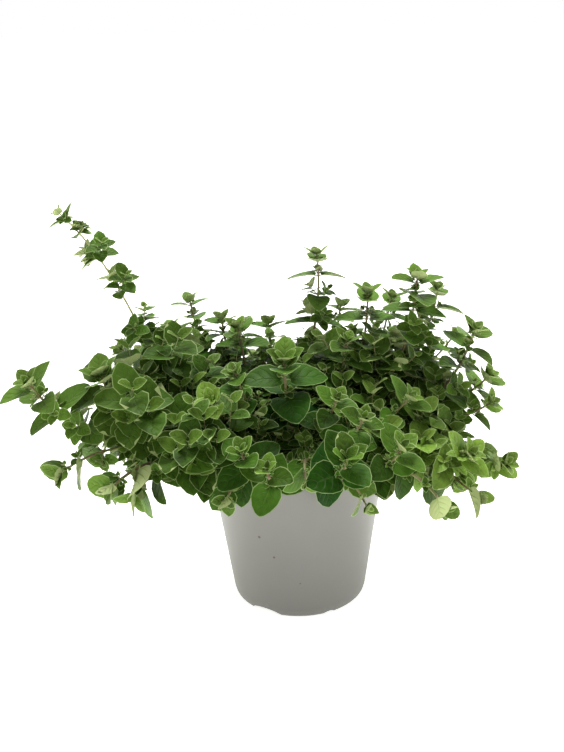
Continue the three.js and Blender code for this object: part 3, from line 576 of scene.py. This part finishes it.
def leaf_skins(leaves, lines, thick, lobes):
    """Closed leaves. The half width is the leaf's widest times the sine of half a turn
    carried along the blade, raised to a power that rounds the base and points the tip, some
    leaves' more than others'. Base lobes slide back with the edge. The blade folds along its
    rib, waves with a sine that grows towards the edge and twists along its length. Each
    section is a lens, which the stalk rounds off. The map holds the number of side veins
    passed, and how near the edge is, or along the rib the eighth power of the way to the
    tip."""
    rows, across = np.array(lines["rows"]), np.array(lines["above"] + lines["below"])
    skin = np.repeat([1.0, -1.0], [len(lines["above"]), len(lines["below"])])
    length, half, arched, youth, tone = (x[:, None, None] for x in (
        leaves.length, leaves.half, leaves.arched, leaves.youth, leaves.tone))
    s, v = rows[:, None], across
    t = np.clip((s - STALK) / (1 - STALK), 0, 1)
    stalk = STALK_HALF + STALK_GAIN * length
    power = ROUND + gains(*POINTED, np.modf(13 * tone)[0]) * t * t
    width = WIDTH_SHARE * (1 + WIDER * tone - NARROWER * youth) * length
    width = np.maximum(stalk * (1 - 0.9 * t), width * np.sin(np.pi * t ** WIDEST) ** power)
    lobe = abs(v) ** LOBE_CURVE * (1 - t) ** 3 * np.clip(t / LOBE_START, 0, 1)
    along = np.where(s > 0, s * length - lobes * length * lobe, -ROOTED * half)
    b = v * width
    fold = CUPPED * gains(*FOLD, 1 - tone) * (
        np.sqrt(b * b + FOLD_ROUND) - math.sqrt(FOLD_ROUND))
    wave = WAVE * length * v * v * t * np.sin(
        WAVE_ALONG * s + WAVE_TONE * tone + WAVE_SIDE * np.sign(v))
    twist = TWIST * (np.modf(7 * tone)[0] - 0.5) * s * b
    body = stalk + (thick / 2 - stalk) * smooth(*STALK_END, s)
    above = skin * body * np.sqrt(1 - v * v)
    rise = fold + wave + twist - arched * along ** 2 / length + above
    root, ahead, aside, normal = (x[:, None, None] for x in (
        leaves.root, leaves.ahead, leaves.across, leaves.normal))
    points = root + ahead * column(along) + aside * column(b) + normal * column(rise)
    veins = VEINS * (s - VEIN_SLANT * abs(v) - VEIN_CURVE * v * v)
    rim = np.where(abs(v) < 0.1, t ** 8, 1 - (1 - abs(v)) * width / RIM_SCALE)
    uv = np.stack([np.broadcast_to(x, rise.shape) for x in (veins, rim)], -1)
    return points, uv, np.repeat([0.0, 1.0], [len(lines["above"]) - 1, len(lines["below"]) + 1])


def stem_skin(line, joints):
    """The stem's own tube: a softly square section, swollen at each joint by a bell curve,
    that narrows to the bud. Its first rings go straight down into the soil."""
    count = max(int(line.length / RING_GAP), 12)
    along = np.concatenate([[-STUB - FOOT_DEPTH, -STUB, -1.2],
                            np.linspace(0.6, line.length, count),
                            line.length + np.array([0.5, 0.9])])
    sides = np.arange(8)
    centre, _, out, half = line.facing(along[:, None], -sides / 2)
    bell = np.exp(-((along[:, None] - joints) / JOINT_LENGTH) ** 2).sum(1, keepdims=True)
    half = half * (1 + JOINT_SWELL * np.clip(bell, 0, 1)) * (
        1 - TIP_TAPER * smooth(-1.5, 0.9, along[:, None] - line.length))
    points = centre + out * column(half * np.where(sides % 2 == 0, 1.0, CORNER))
    uv = np.stack(np.broadcast_arrays(along[:, None] / 10, np.zeros(8)), -1)
    return points[None], uv[None]


def hair_spikes(line, gap, length):
    """Short hairs that stand out of the stem's corners and lean to its tip, as thin
    three-sided spikes: three corners of a base and a point, shaped (hairs, 4, 3)."""
    rank, face = np.meshgrid(np.arange(int(line.length / gap)), np.arange(4), indexing="ij")
    chance = [draw(line.number, rank + 0.25 * face, 70 + use) for use in range(3)]
    centre, tangent, out, half = line.facing(
        gap * (rank + chance[0]), face + HAIR_TURN * (chance[1] - 0.5) / QUARTER)
    level = np.cross(tangent, out)
    foot = centre + out * 0.95 * column(half)
    way = out + tangent * gains(*HAIR_LEAN, column(chance[2]))
    tip = foot + way * length * gains(*HAIR_LENGTH, column(chance[1]))
    wide = HAIR_WIDTH * length
    base = [foot + tangent * wide, foot - tangent * wide / 2 + level * wide,
            foot - tangent * wide / 2 - level * wide]
    return np.stack([*base, tip], -2).reshape(-1, 4, 3)


def twig_skins(paths):
    """Thin round tubes along several lines of as many points each."""
    paths = np.array(paths)
    tangent = unit(np.gradient(paths, axis=1))
    side = unit(np.cross(tangent, np.array([0.31, 0.17, 0.93])))
    ring = turned(side[:, :, None], np.cross(tangent, side)[:, :, None],
                  -round_angles(TWIG_SIDES))
    radius = np.linspace(TWIG_FOOT, TWIG_TIP, paths.shape[1])[:, None, None]
    return paths[:, :, None] + ring * radius


def turned_skin(profile, sides):
    """A profile of radius and height carried round the Z axis, as one closed skin."""
    radius, height = profile[:, :1, None], profile[:, 1:, None]
    return (turned(RIGHT, BACK, round_angles(sides)) * radius + UP * height)[None, :, ::-1]


def eased(corners, steps=5):
    """A profile whose corners, given as radius, height and easing, are each replaced by a
    short parabola that starts and ends that far from the corner."""
    place, ease = np.array([c[:2] for c in corners], float), np.array([c[2] for c in corners])
    u = np.linspace(0, 1, steps)[None, :, None]
    here = place[1:-1, None]
    before, after = (here + unit(other - place[1:-1])[:, None] * ease[1:-1, None, None]
                     for other in (place[:-2], place[2:]))
    arcs = (1 - u) ** 2 * before + 2 * u * (1 - u) * here + u * u * after
    return np.concatenate([place[:1], arcs.reshape(-1, 2), place[-1:]])


def value_noise(x, y, cell, seed):
    """Random heights on a square lattice, joined smoothly between its points."""
    gx, gy = x / cell + 500, y / cell + 500
    ix, iy = np.floor(gx), np.floor(gy)
    fx, fy = smooth(0, 1, gx - ix), smooth(0, 1, gy - iy)
    low, high = (draw(ix, iy + up, seed) * (1 - fx) + draw(ix + 1, iy + up, seed) * fx
                 for up in (0, 1))
    return low * (1 - fy) + high * fy - 0.5


# Materials

def linear(code):
    """An sRGB hex colour as linear red, green, blue and alpha."""
    value = np.array([int(code[i:i + 2], 16) for i in (1, 3, 5)]) / 255
    value = np.where(value <= 0.04045, value / 12.92, ((value + 0.055) / 1.055) ** 2.4)
    return (*value.tolist(), 1.0)


def add_node(tree, kind, *first, **named):
    """Adds a shader node. What is named is a setting or an input of it, and what isn't are
    its first inputs in use. Each input is set to a value, or linked to a socket or to the
    first output in use of a node."""
    made = tree.nodes.new("ShaderNode" + kind)
    for name in set(named) - set(made.inputs.keys()):
        setattr(made, name, named.pop(name))
    inputs = [(made.inputs[name], value) for name, value in named.items()]
    for socket, value in [*inputs, *zip((s for s in made.inputs if s.enabled), first)]:
        if isinstance(value, bpy.types.Node):
            value = next(output for output in value.outputs if output.enabled)
        if isinstance(value, bpy.types.NodeSocket):
            tree.links.new(value, socket)
        else:
            socket.default_value = value
    return made


def new_tree(kind, name):
    """A new material or world without nodes, and what adds a node to it."""
    made = kind.new(name)
    made.use_nodes = True
    made.node_tree.nodes.clear()
    return made, partial(add_node, made.node_tree)


def leaf_material(looks):
    """Oregano leaf blade: a matt, finely haired green face with sunk veins and a pale edge,
    which is partly painted highlight, and a paler, velvety underside where the veins stand out.
    Outer and upper leaves are lightened as painted sunlight, and branch leaves deep in the bush
    are darkened, through their tone, as painted shade."""
    material, add = new_tree(bpy.data.materials, "oregano_leaf_blade")
    passed, near_edge, _ = add("SeparateXYZ", add("UVMap", uv_map="surface")).outputs
    place = add("TexCoord").outputs["Object"]
    youth, tone, under = (add("Attribute", attribute_name=name).outputs["Fac"]
                          for name in ("youth", "tone", "under"))
    # Side veins stand where the map's first number is whole, the rib at 0 of the second and
    # the edge at 1. The veins are drawn 0.4 mm wide, and the edge 0.5 mm, twice the real
    # width, so that they show.
    comb = add("Math", passed, 0.5, operation="PINGPONG")
    side_vein = add("MapRange", comb, 0.13, 0.0, interpolation_type="SMOOTHSTEP")
    rib = add("MapRange", near_edge, 0.09, 0.02, interpolation_type="SMOOTHSTEP")
    edge = add("MapRange", near_edge, 0.95, 0.975, interpolation_type="SMOOTHSTEP")
    inner = add("MapRange", near_edge, 0.95, 0.45)
    side_vein = add("Math", side_vein, inner, operation="MULTIPLY")
    vein = add("Math", side_vein, rib, operation="MAXIMUM")
    # Mottling a few millimetres across, and the grain of hairs a third of one across
    mottle = add("TexNoise", place, Scale=260.0, Detail=3.0)
    grain = add("TexNoise", place, Scale=2600.0, Detail=1.0)
    # Each leaf's lightness follows its random tone and a mottle; the lower tone of branch leaves
    # deep in the bush is painted shade
    light = add("MapRange", add("Math", tone, mottle, operation="ADD"), 0.2, 1.8, 0.3, 1.5)
    face = add("Mix", youth, looks.mature_leaf, looks.young_leaf, data_type="RGBA")
    face = add("HueSaturation", Value=light, Color=face)
    # Painted sunlight: leaves 60 to 140 mm out to the left and right, or 150 to 220 mm up, are
    # lightened towards the young leaf's yellow-green, as if the sun lit them more
    x, _, z = add("SeparateXYZ", place).outputs
    far = add("MapRange", add("Math", x, operation="ABSOLUTE"), 60 * MM, 140 * MM, 0.0,
              looks.painted_sunlight)
    high = add("MapRange", z, 150 * MM, 220 * MM, 0.0, looks.painted_sunlight)
    painted_sunlight_share = add("Math", far, high, operation="MAXIMUM")
    # The pale edge, in the vein colour, is partly the leaf's pale hairy margin and partly painted
    # highlight where those hairs catch the light
    faint, pale, ridge = (add("Math", part, share, operation="MULTIPLY")
                          for part, share in ((vein, 0.04), (edge, 0.56), (vein, 0.35)))
    for share, colour in ((painted_sunlight_share, looks.young_leaf), (faint, looks.vein), (pale, looks.vein)):
        face = add("Mix", share, face, colour, data_type="RGBA")
    back = add("Mix", ridge, looks.underside, looks.young_leaf, data_type="RGBA")
    # Grooves above and ridges below, with the blade swelling between the side veins
    height = add("Math", add("Math", comb, inner, operation="MULTIPLY"), vein,
                 operation="SUBTRACT")
    height = add("Math", height, add("MapRange", under, 0.0, 1.0, 1.0, -1.0),
                 operation="MULTIPLY")
    height = add("Math", grain, 0.3, height, operation="MULTIPLY_ADD")
    add("OutputMaterial", add("BsdfPrincipled", **{
        "Base Color": add("Mix", under, face, back, data_type="RGBA"),
        "Normal": add("Bump", Height=height, Distance=0.3 * MM, Strength=1.0),
        "Roughness": add("MapRange", grain, 0.0, 1.0, 0.35, 0.5),
        "Specular IOR Level": 0.06}))
    return material


def stem_material(looks):
    """Oregano stem: a thin green bark that sun turns purple-brown, matt with short hairs,
    and yellow-green on young growth."""
    material, add = new_tree(bpy.data.materials, "oregano_stem_bark")
    place = add("TexCoord").outputs["Object"]
    youth = add("Attribute", attribute_name="youth").outputs["Fac"]
    # Streaks about 5 mm across and hairs a quarter of one across
    streak = add("TexNoise", place, Scale=170.0, Detail=3.0)
    hairs = add("TexNoise", place, Scale=3500.0, Detail=1.0)
    old = add("Mix", add("MapRange", streak, 0.35, 0.62), looks.old_stem, looks.green_stem,
              data_type="RGBA")
    add("OutputMaterial", add("BsdfPrincipled", **{
        "Base Color": add("Mix", youth, old, looks.young_stem, data_type="RGBA"),
        "Normal": add("Bump", Height=hairs, Distance=0.12 * MM, Strength=0.7),
        "Roughness": 0.55, "Sheen Weight": 0.15}))
    return material


def pot_material(looks):
    """Moulded polypropylene: an even, slightly waxy light grey with a fine moulded grain and
    a few specks of soil."""
    material, add = new_tree(bpy.data.materials, "moulded_polypropylene")
    place = add("TexCoord").outputs["Object"]
    # Cloudiness about 40 mm across, grain half of one, specks in cells of 9 mm
    cloud = add("TexNoise", place, Scale=24.0, Detail=2.0)
    grain = add("TexNoise", place, Scale=1800.0, Detail=2.0)
    cells = add("TexVoronoi", place, Scale=110.0)
    few = add("Math", add("SeparateColor", cells.outputs["Color"]), 1 - looks.speck_share,
              operation="GREATER_THAN")
    speck = add("Math", few, add("MapRange", cells, 0.13, 0.09), operation="MULTIPLY")
    wall = add("HueSaturation", Value=add("MapRange", cloud, 0.0, 1.0, 0.94, 1.06),
               Color=looks.pot_colour)
    add("OutputMaterial", add("BsdfPrincipled", **{
        "Base Color": add("Mix", speck, wall, looks.speck_colour, data_type="RGBA"),
        "Normal": add("Bump", Height=grain, Distance=0.03 * MM, Strength=0.5),
        "Roughness": add("MapRange", cloud, 0.0, 1.0, 0.42, 0.52), "IOR": 1.49}))
    return material


def soil_material(looks):
    """Damp peat: dull, dark brown crumbs and fibres."""
    material, add = new_tree(bpy.data.materials, "damp_peat")
    place = add("TexCoord").outputs["Object"]
    # Crumbs 2 to 4 mm across, and grit under one
    crumb = add("TexNoise", place, Scale=330.0, Detail=5.0)
    grit = add("TexVoronoi", place, Scale=700.0)
    height = add("Math", grit, crumb, operation="ADD")
    add("OutputMaterial", add("BsdfPrincipled", **{
        "Base Color": add("HueSaturation", Value=add("MapRange", crumb, 0.3, 0.7, 0.5, 1.7),
                          Color=looks.soil_colour),
        "Normal": add("Bump", Height=height, Distance=0.8 * MM), "Roughness": 0.92}))
    return material


def floor_material(looks):
    """Opal studio board, lit a little from below: even, pale and nearly free of shadow."""
    material, add = new_tree(bpy.data.materials, "opal_studio_board")
    add("OutputMaterial", add("BsdfPrincipled", **{
        "Base Color": looks.floor_colour, "Roughness": 0.9,
        "Emission Color": looks.floor_colour, "Emission Strength": looks.floor_glow}))
    return material


# The add-on's settings

def colour(name, code, description):
    """A colour setting, given as an sRGB hex colour."""
    return FloatVectorProperty(name=name, description=description, default=linear(code),
                               size=4, min=0, max=1, subtype="COLOR")


def length(name, default, low, high, description):
    """A length setting, in metres."""
    return FloatProperty(name=name, description=description, default=default, min=low,
                         max=high, precision=5, unit="LENGTH")


def amount(name, default, high, description, subtype="NONE"):
    """A strength, or a share where its subtype is FACTOR, from 0 up."""
    return FloatProperty(name=name, description=description, default=default, min=0,
                         max=high, subtype=subtype)


class OreganoBush(bpy.types.PropertyGroup):
    """Sizes and colours of the stems and leaves"""
    thickness: length("Leaf Thickness", 0.00045, 0.0002, 0.0007,
                      "Thickness of a leaf at its rib")
    lobes: amount("Base Lobes", 0.09, 0.15, "How far a leaf's base reaches back, as a share",
                  "FACTOR")
    joint_gap: length("Joint Gap", 0.0105, 0.006, 0.03,
                      "Distance between the joints of a stem's lower stretch")
    hair: length("Hair Length", 0.0009, 0.0002, 0.002, "Length of the hairs on a stem")
    hair_gap: length("Hair Gap", 0.0016, 0.0005, 0.01,
                     "Distance along a stem from hair to hair")
    side_size: amount("Side Leaf Size", 0.46, 0.8,
                      "Size of side leaves, as a share of the largest", "FACTOR")
    mature_leaf: colour("Mature Leaf", "#1c4d08", "Upper face of a mature leaf")
    young_leaf: colour("Young Leaf", "#7a993d", "Upper face of a young leaf")
    underside: colour("Underside", "#b5c385", "Lower face of a leaf")
    # Painted sunlight: how far outer and upper leaves are lightened towards the young leaf's
    # colour
    painted_sunlight: amount("Sun Bleach", 0.25, 1,
                       "How much of a young leaf's colour sunned leaves take", "FACTOR")
    # The vein colour also paints the pale edge, which is partly a painted highlight
    vein: colour("Vein", "#bacf8e", "Veins and edge of a leaf")
    old_stem: colour("Old Stem", "#80654f", "Stem where the sun has coloured it")
    green_stem: colour("Green Stem", "#87864f", "Stem where it stays green")
    young_stem: colour("Young Stem", "#b5b87a", "Stem of young growth")


class OreganoPot(bpy.types.PropertyGroup):
    """Sizes and colours of the pot and its soil"""
    sides: IntProperty(
        name="Sides", description="Faces round the pot", default=192, min=48, max=384)
    pot_colour: colour("Pot", "#7e7d78", "The pot's plastic")
    soil_colour: colour("Soil", "#3b2c22", "The soil")
    speck_colour: colour("Speck", "#5b4a3a", "Dry soil stuck to the pot")
    speck_share: amount("Specks", 0.08, 0.5, "Share of 9 mm cells that hold a speck of soil",
                        "FACTOR")
    crumbs: IntProperty(
        name="Crumbs", description="Loose crumbs on the soil", default=260, min=0, max=1000)


class OreganoStudio(bpy.types.PropertyGroup):
    """The camera, floor and light"""
    camera_place: FloatVectorProperty(
        name="Camera", description="Where the camera stands",
        default=(-0.009, -0.694, 0.402), size=3, subtype="TRANSLATION")
    camera_pitch: FloatProperty(
        name="Pitch", description="How far the camera looks down",
        default=0.329, subtype="ANGLE")
    camera_roll: FloatProperty(
        name="Roll", description="How far the camera leans",
        default=0.029, subtype="ANGLE")
    focal_length: FloatProperty(
        name="Lens", description="Focal length in millimetres, for a 36 mm long side",
        default=50.07, min=10, max=200)
    floor_colour: colour("Floor", "#f6f6f4", "The floor's board")
    floor_glow: amount("Floor Glow", 0.84, 2, "Strength of the light through the floor's board")
    sky: amount("Room Light", 0.4, 5, "Strength of the light from overhead")
    horizon: amount("Backdrop Light", 2.3, 5, "Strength of the light from level all round")
    front: amount("Front Light", 0.0, 5,
                  "Strength of the level light from behind the camera")
    key: amount("Softbox", 4.3, 20, "Strength of the large light above and behind")


# The add-on's operators

def show(name, mesh, materials, slot, *nodes):
    """Puts a finished mesh into the scene as a piece that stands for nodes of the frame."""
    piece = bpy.data.objects.new(name, mesh)
    bpy.context.scene.collection.objects.link(piece)
    for material in materials:
        mesh.materials.append(material)
    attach(piece, "root")
    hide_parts(*nodes)


def corners_of(node):
    """The corners of a node of the frame, in millimetres, without doubles."""
    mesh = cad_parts[node].data
    points = np.empty(len(mesh.vertices) * 3, np.float32)
    mesh.vertices.foreach_get("co", points)
    return np.unique(np.round(points.reshape(-1, 3).astype(float) / MM, 4), axis=0)


class OREGANO_OT_studio(bpy.types.Operator):
    """Set up the camera, the pale floor and the soft light"""
    bl_idname = "oregano.studio"
    bl_label = "Set Up Studio"

    def execute(self, context):
        looks = context.scene.oregano_studio
        camera = bpy.data.objects.new("camera", bpy.data.cameras.new("camera"))
        camera.data.lens = looks.focal_length
        camera.data.clip_end = 50
        camera.matrix_world = (Matrix.Translation(looks.camera_place)
                               @ Matrix.Rotation(QUARTER - looks.camera_pitch, 4, "X")
                               @ Matrix.Rotation(-looks.camera_roll, 4, "Z"))
        context.scene.camera = camera
        world, add = new_tree(bpy.data.worlds, "room")
        # The light from level all round fades to the sky's overhead, and to the camera's side
        _, y, z = add("SeparateXYZ", add("TexCoord").outputs["Generated"]).outputs
        level = add("MapRange", y, -0.9, 0.0, looks.front, looks.horizon,
                    interpolation_type="SMOOTHSTEP")
        strength = add("MapRange", z, 0.02, 0.45, level, looks.sky)
        strength = add("Mix", add("LightPath").outputs["Is Camera Ray"], strength, 1.0)
        add("OutputWorld", add("Background", linear("#ffffff"), strength))
        context.scene.world = world
        context.scene.view_settings.view_transform = "Standard"
        softbox = bpy.data.objects.new("softbox", bpy.data.lights.new("softbox", "SUN"))
        softbox.data.energy, softbox.data.angle = looks.key, math.radians(SOFTBOX_WIDTH)
        softbox.rotation_euler = Vector(SOFTBOX_WAY).to_track_quat("-Z", "Y").to_euler()
        mould = Mould()
        square = np.array([[-1, -1, 0], [-1, 1, 0], [1, 1, 0], [1, -1, 0]]) * FLOOR_HALF
        mould.tubes(np.stack([square + UP * (FLOOR_TOP - FLOOR_THICK),
                              square + UP * FLOOR_TOP])[None])
        floor = bpy.data.objects.new("studio_floor", mould.mesh("studio_floor", 30))
        floor.data.materials.append(floor_material(looks))
        for thing in (camera, softbox, floor):
            context.scene.collection.objects.link(thing)
        return {"FINISHED"}


class OREGANO_OT_pot(bpy.types.Operator):
    """Turn the nursery pot, with its rim, foot gaps and drain holes"""
    bl_idname = "oregano.pot"
    bl_label = "Make Pot"

    def execute(self, context):
        looks = context.scene.oregano_pot
        floor, lip = CHANNEL_LIFT + WALL, RIM_HEIGHT
        profile = eased([
            (0, 0, 0), (PAD_RADIUS, 0, 0.6), (CHANNEL_INNER, CHANNEL_LIFT, 0.8),
            (CHANNEL_OUTER, CHANNEL_LIFT, 0.8), (FOOT_INNER, 0, 0.6), (FOOT_OUTER, 0, 0.6),
            (FOOT_OUTER + 1.7, 1.8, 0.8), (HEEL_RADIUS, HEEL_HEIGHT, 1.2),
            (LEDGE_RADIUS, LEDGE_HEIGHT, 0.25), (RIM_RADIUS - 0.5, LEDGE_HEIGHT + 0.3, 0.35),
            (RIM_RADIUS - 0.15, lip - 0.5, 0.5), (RIM_RADIUS - 0.5, lip, 0.3),
            (RIM_RADIUS - WALL, lip, 0.3), (RIM_RADIUS - WALL - 0.4, lip - 0.8, 0.3),
            (LEDGE_RADIUS - WALL, LEDGE_HEIGHT - 0.5, 0.5),
            (HEEL_RADIUS - WALL + 0.15, floor, 0.4), (0, floor, 0)])
        mould, cutters = Mould(), Mould()
        mould.tubes(turned_skin(profile, looks.sides))
        arc = np.linspace(0, math.pi, ARCH_POINTS)
        for gap in (ARCH, NOTCH):
            half = gap["width"] / 2
            shape = np.column_stack([half * np.cos(arc), gap["height"] * np.sin(arc)])
            shape = np.concatenate([shape, [[-half, -1], [half, -1]]])
            for turn in np.arange(gap["count"]) * 360 / gap["count"] + gap["first"]:
                out = turned(RIGHT, BACK, math.radians(turn))
                ring = np.cross(UP, out) * shape[:, :1] + UP * shape[:, 1:]
                cutters.tubes(np.stack([out * CUT_OUTER + ring, out * CUT_INNER + ring])[None])
        ring = DRAIN["radius"] * turned(RIGHT, BACK, round_angles(DRAIN_SIDES))
        for out in turned(RIGHT, BACK, round_angles(DRAIN["count"])):
            hole = DRAIN["circle"] * out + ring
            cutters.tubes(np.stack([hole + UP * DRAIN["top"], hole + UP * DRAIN["bottom"]])[None])
        mesh = cut(mould.mesh("pot_wall"), cutters.mesh("pot_cuts"))
        mesh.shade_smooth()
        mesh.set_sharp_from_angle(angle=math.radians(POT_CREASE))
        mesh.materials.clear()
        show("nursery_pot", mesh, [pot_material(looks)], "pot_plastic", "pot")
        return {"FINISHED"}


def cut(mesh, tool):
    """The first mesh with the second cut out of it, once the first one's poles are merged."""
    body, knife = (bpy.data.objects.new(m.name, m) for m in (mesh, tool))
    for thing in (body, knife):
        bpy.context.scene.collection.objects.link(thing)
    body.modifiers.new("poles", "WELD").merge_threshold = 0.01 * MM
    boolean = body.modifiers.new("cuts", "BOOLEAN")
    boolean.operation, boolean.solver, boolean.object = "DIFFERENCE", "EXACT", knife
    state = bpy.context.evaluated_depsgraph_get()
    done = bpy.data.meshes.new_from_object(body.evaluated_get(state))
    for thing in (body, knife):
        bpy.data.objects.remove(thing)
    return done


class OREGANO_OT_soil(bpy.types.Operator):
    """Fill the pot with crumbly soil"""
    bl_idname = "oregano.soil"
    bl_label = "Fill With Soil"

    def execute(self, context):
        looks = context.scene.oregano_pot
        bottom = CHANNEL_LIFT + WALL + 0.3
        taper = (LEDGE_RADIUS - HEEL_RADIUS) / (LEDGE_HEIGHT - HEEL_HEIGHT)
        low, high = (HEEL_RADIUS + taper * (z - HEEL_HEIGHT) - WALL - SOIL_GAP
                     for z in (bottom, SOIL_TOP))
        edge = [[0, bottom], [low, bottom], [high, SOIL_TOP - SOIL_EDGE - 0.5]]
        top = [[radius, SOIL_TOP] for radius in np.linspace(high - 0.5, 0, SOIL_RINGS)]
        skin = turned_skin(np.array(edge + top), SOIL_SIDES)
        x, y = skin[0, 3:, :, 0], skin[0, 3:, :, 1]
        heave = sum(tall * value_noise(x, y, wide, seed)
                    for seed, (tall, wide) in enumerate(HEAVES, 1))
        skin[0, 3:, :, 2] += heave * (1 - smooth(0.9, 1, np.hypot(x, y) / high)) - SOIL_SINK
        skin[0, -1] = skin[0, -1].mean(0)
        mould = Mould()
        mould.tubes(skin)
        # Crumbs: uneven balls, strewn evenly over the soil
        ids = np.arange(looks.crumbs)
        size = gains(*CRUMB_SIZE, draw(ids, 3, 5) ** 2)
        reach = np.sqrt(draw(ids, 1, 5)) * (high - 3)
        middle = (turned(RIGHT, BACK, draw(ids, 2, 5) * 2 * math.pi) * column(reach)
                  + UP * column(SOIL_TOP - 0.3 + 0.5 * size))
        wide = np.sqrt(1 - CRUMB_RINGS ** 2)[:, None] * (0.75 + 0.5 * draw(
            ids[:, None, None], np.arange(3)[:, None], 10 + np.arange(CRUMB_SIDES)))
        ball = (turned(RIGHT, BACK, -round_angles(CRUMB_SIDES)) * column(wide)
                + UP * CRUMB_RINGS[:, None, None])
        mould.tubes(middle[:, None, None] + ball * size[:, None, None, None] * [1, 1, 0.75])
        show("potting_mix", mould.mesh("potting_mix", SOIL_CREASE), [soil_material(looks)],
             "potting_soil", "potting_soil")
        return {"FINISHED"}


class OREGANO_OT_stems(bpy.types.Operator):
    """Grow every leafy stem, with its leaves, buds and side shoots"""
    bl_idname = "oregano.stems"
    bl_label = "Grow Stems"

    def execute(self, context):
        looks = context.scene.oregano_bush
        finishes = [leaf_material(looks), stem_material(looks)]
        room, plants, total = Room(), [], 0
        for number in range(len(SHOOTS)):
            node = f"leafy_stem_{number + 1:02d}"
            corners = corners_of(node)
            sunk = (abs(corners[:, 2] - SOIL_TOP + FOOT_DEPTH) < NEAR) & (
                np.hypot(corners[:, 0], corners[:, 1]) < ROOT_LIMIT + FOOT_WIDTH)
            foot = np.append(corners[sunk, :2].mean(0), SOIL_TOP + STUB)
            line = StemLine(number, foot)
            leaves = stem_leaves(line, corners)
            total += len(leaves.length)
            room.take(line.facing(np.arange(0, line.length, 2.5), 0)[0])
            room.take_leaves(leaves)
            plants.append((node, line, leaves))
        if total < 5 * len(SHOOTS):
            raise RuntimeError(f"only {total} leaves of the frame were found")
        for node, line, leaves in plants:
            small, paths = side_shoots(line, looks.joint_gap / MM, looks.side_size, room)
            small = gather([bud_leaves(line), *small])
            youth = line.young * line.wispy
            mould = Mould()
            points, uv = stem_skin(
                line, line.length - line.pair_distance(np.arange(line.pairs)))
            mould.tubes(points, uv=uv, youth=youth, finish=1)
            mould.spikes(hair_spikes(line, looks.hair_gap / MM, looks.hair / MM), youth=1,
                         finish=1)
            if paths:
                mould.tubes(twig_skins(paths), youth=0.3 + 0.6 * youth, finish=1)
            for part, lines in ((leaves, LARGE), (small, SMALL)):
                points, uv, under = leaf_skins(part, lines, looks.thickness / MM, looks.lobes)
                mould.tubes(points, under, part.youth, part.tone, uv=uv)
            name = f"oregano_shoot_{line.number + 1:02d}"
            show(name, mould.mesh(name, LEAF_CREASE), finishes, "oregano_leaf", node)
        return {"FINISHED"}


class OREGANO_PT_panel(bpy.types.Panel):
    """Lists the operators and their settings"""
    bl_label = "Potted Oregano"
    bl_idname = "OREGANO_PT_panel"
    bl_space_type = "VIEW_3D"
    bl_region_type = "UI"
    bl_category = "Oregano"

    def draw(self, context):
        scene = context.scene
        for settings, operators in (
                (scene.oregano_studio, ["oregano.studio"]),
                (scene.oregano_pot, ["oregano.pot", "oregano.soil"]),
                (scene.oregano_bush, ["oregano.stems"])):
            box = self.layout.box()
            for operator in operators:
                box.operator(operator)
            for name in settings.__annotations__:
                box.prop(settings, name)


SETTINGS = {"oregano_bush": OreganoBush, "oregano_pot": OreganoPot,
            "oregano_studio": OreganoStudio}
CLASSES = (*SETTINGS.values(), OREGANO_OT_studio, OREGANO_OT_pot, OREGANO_OT_soil,
           OREGANO_OT_stems, OREGANO_PT_panel)


def register():
    for each in CLASSES:
        bpy.utils.register_class(each)
    for name, group in SETTINGS.items():
        setattr(bpy.types.Scene, name, PointerProperty(type=group))


def unregister():
    for name in SETTINGS:
        delattr(bpy.types.Scene, name)
    for each in reversed(CLASSES):
        bpy.utils.unregister_class(each)


def main():
    register()
    bpy.ops.oregano.studio()
    bpy.ops.oregano.pot()
    bpy.ops.oregano.soil()
    bpy.ops.oregano.stems()


if __name__ == "__main__":
    main()
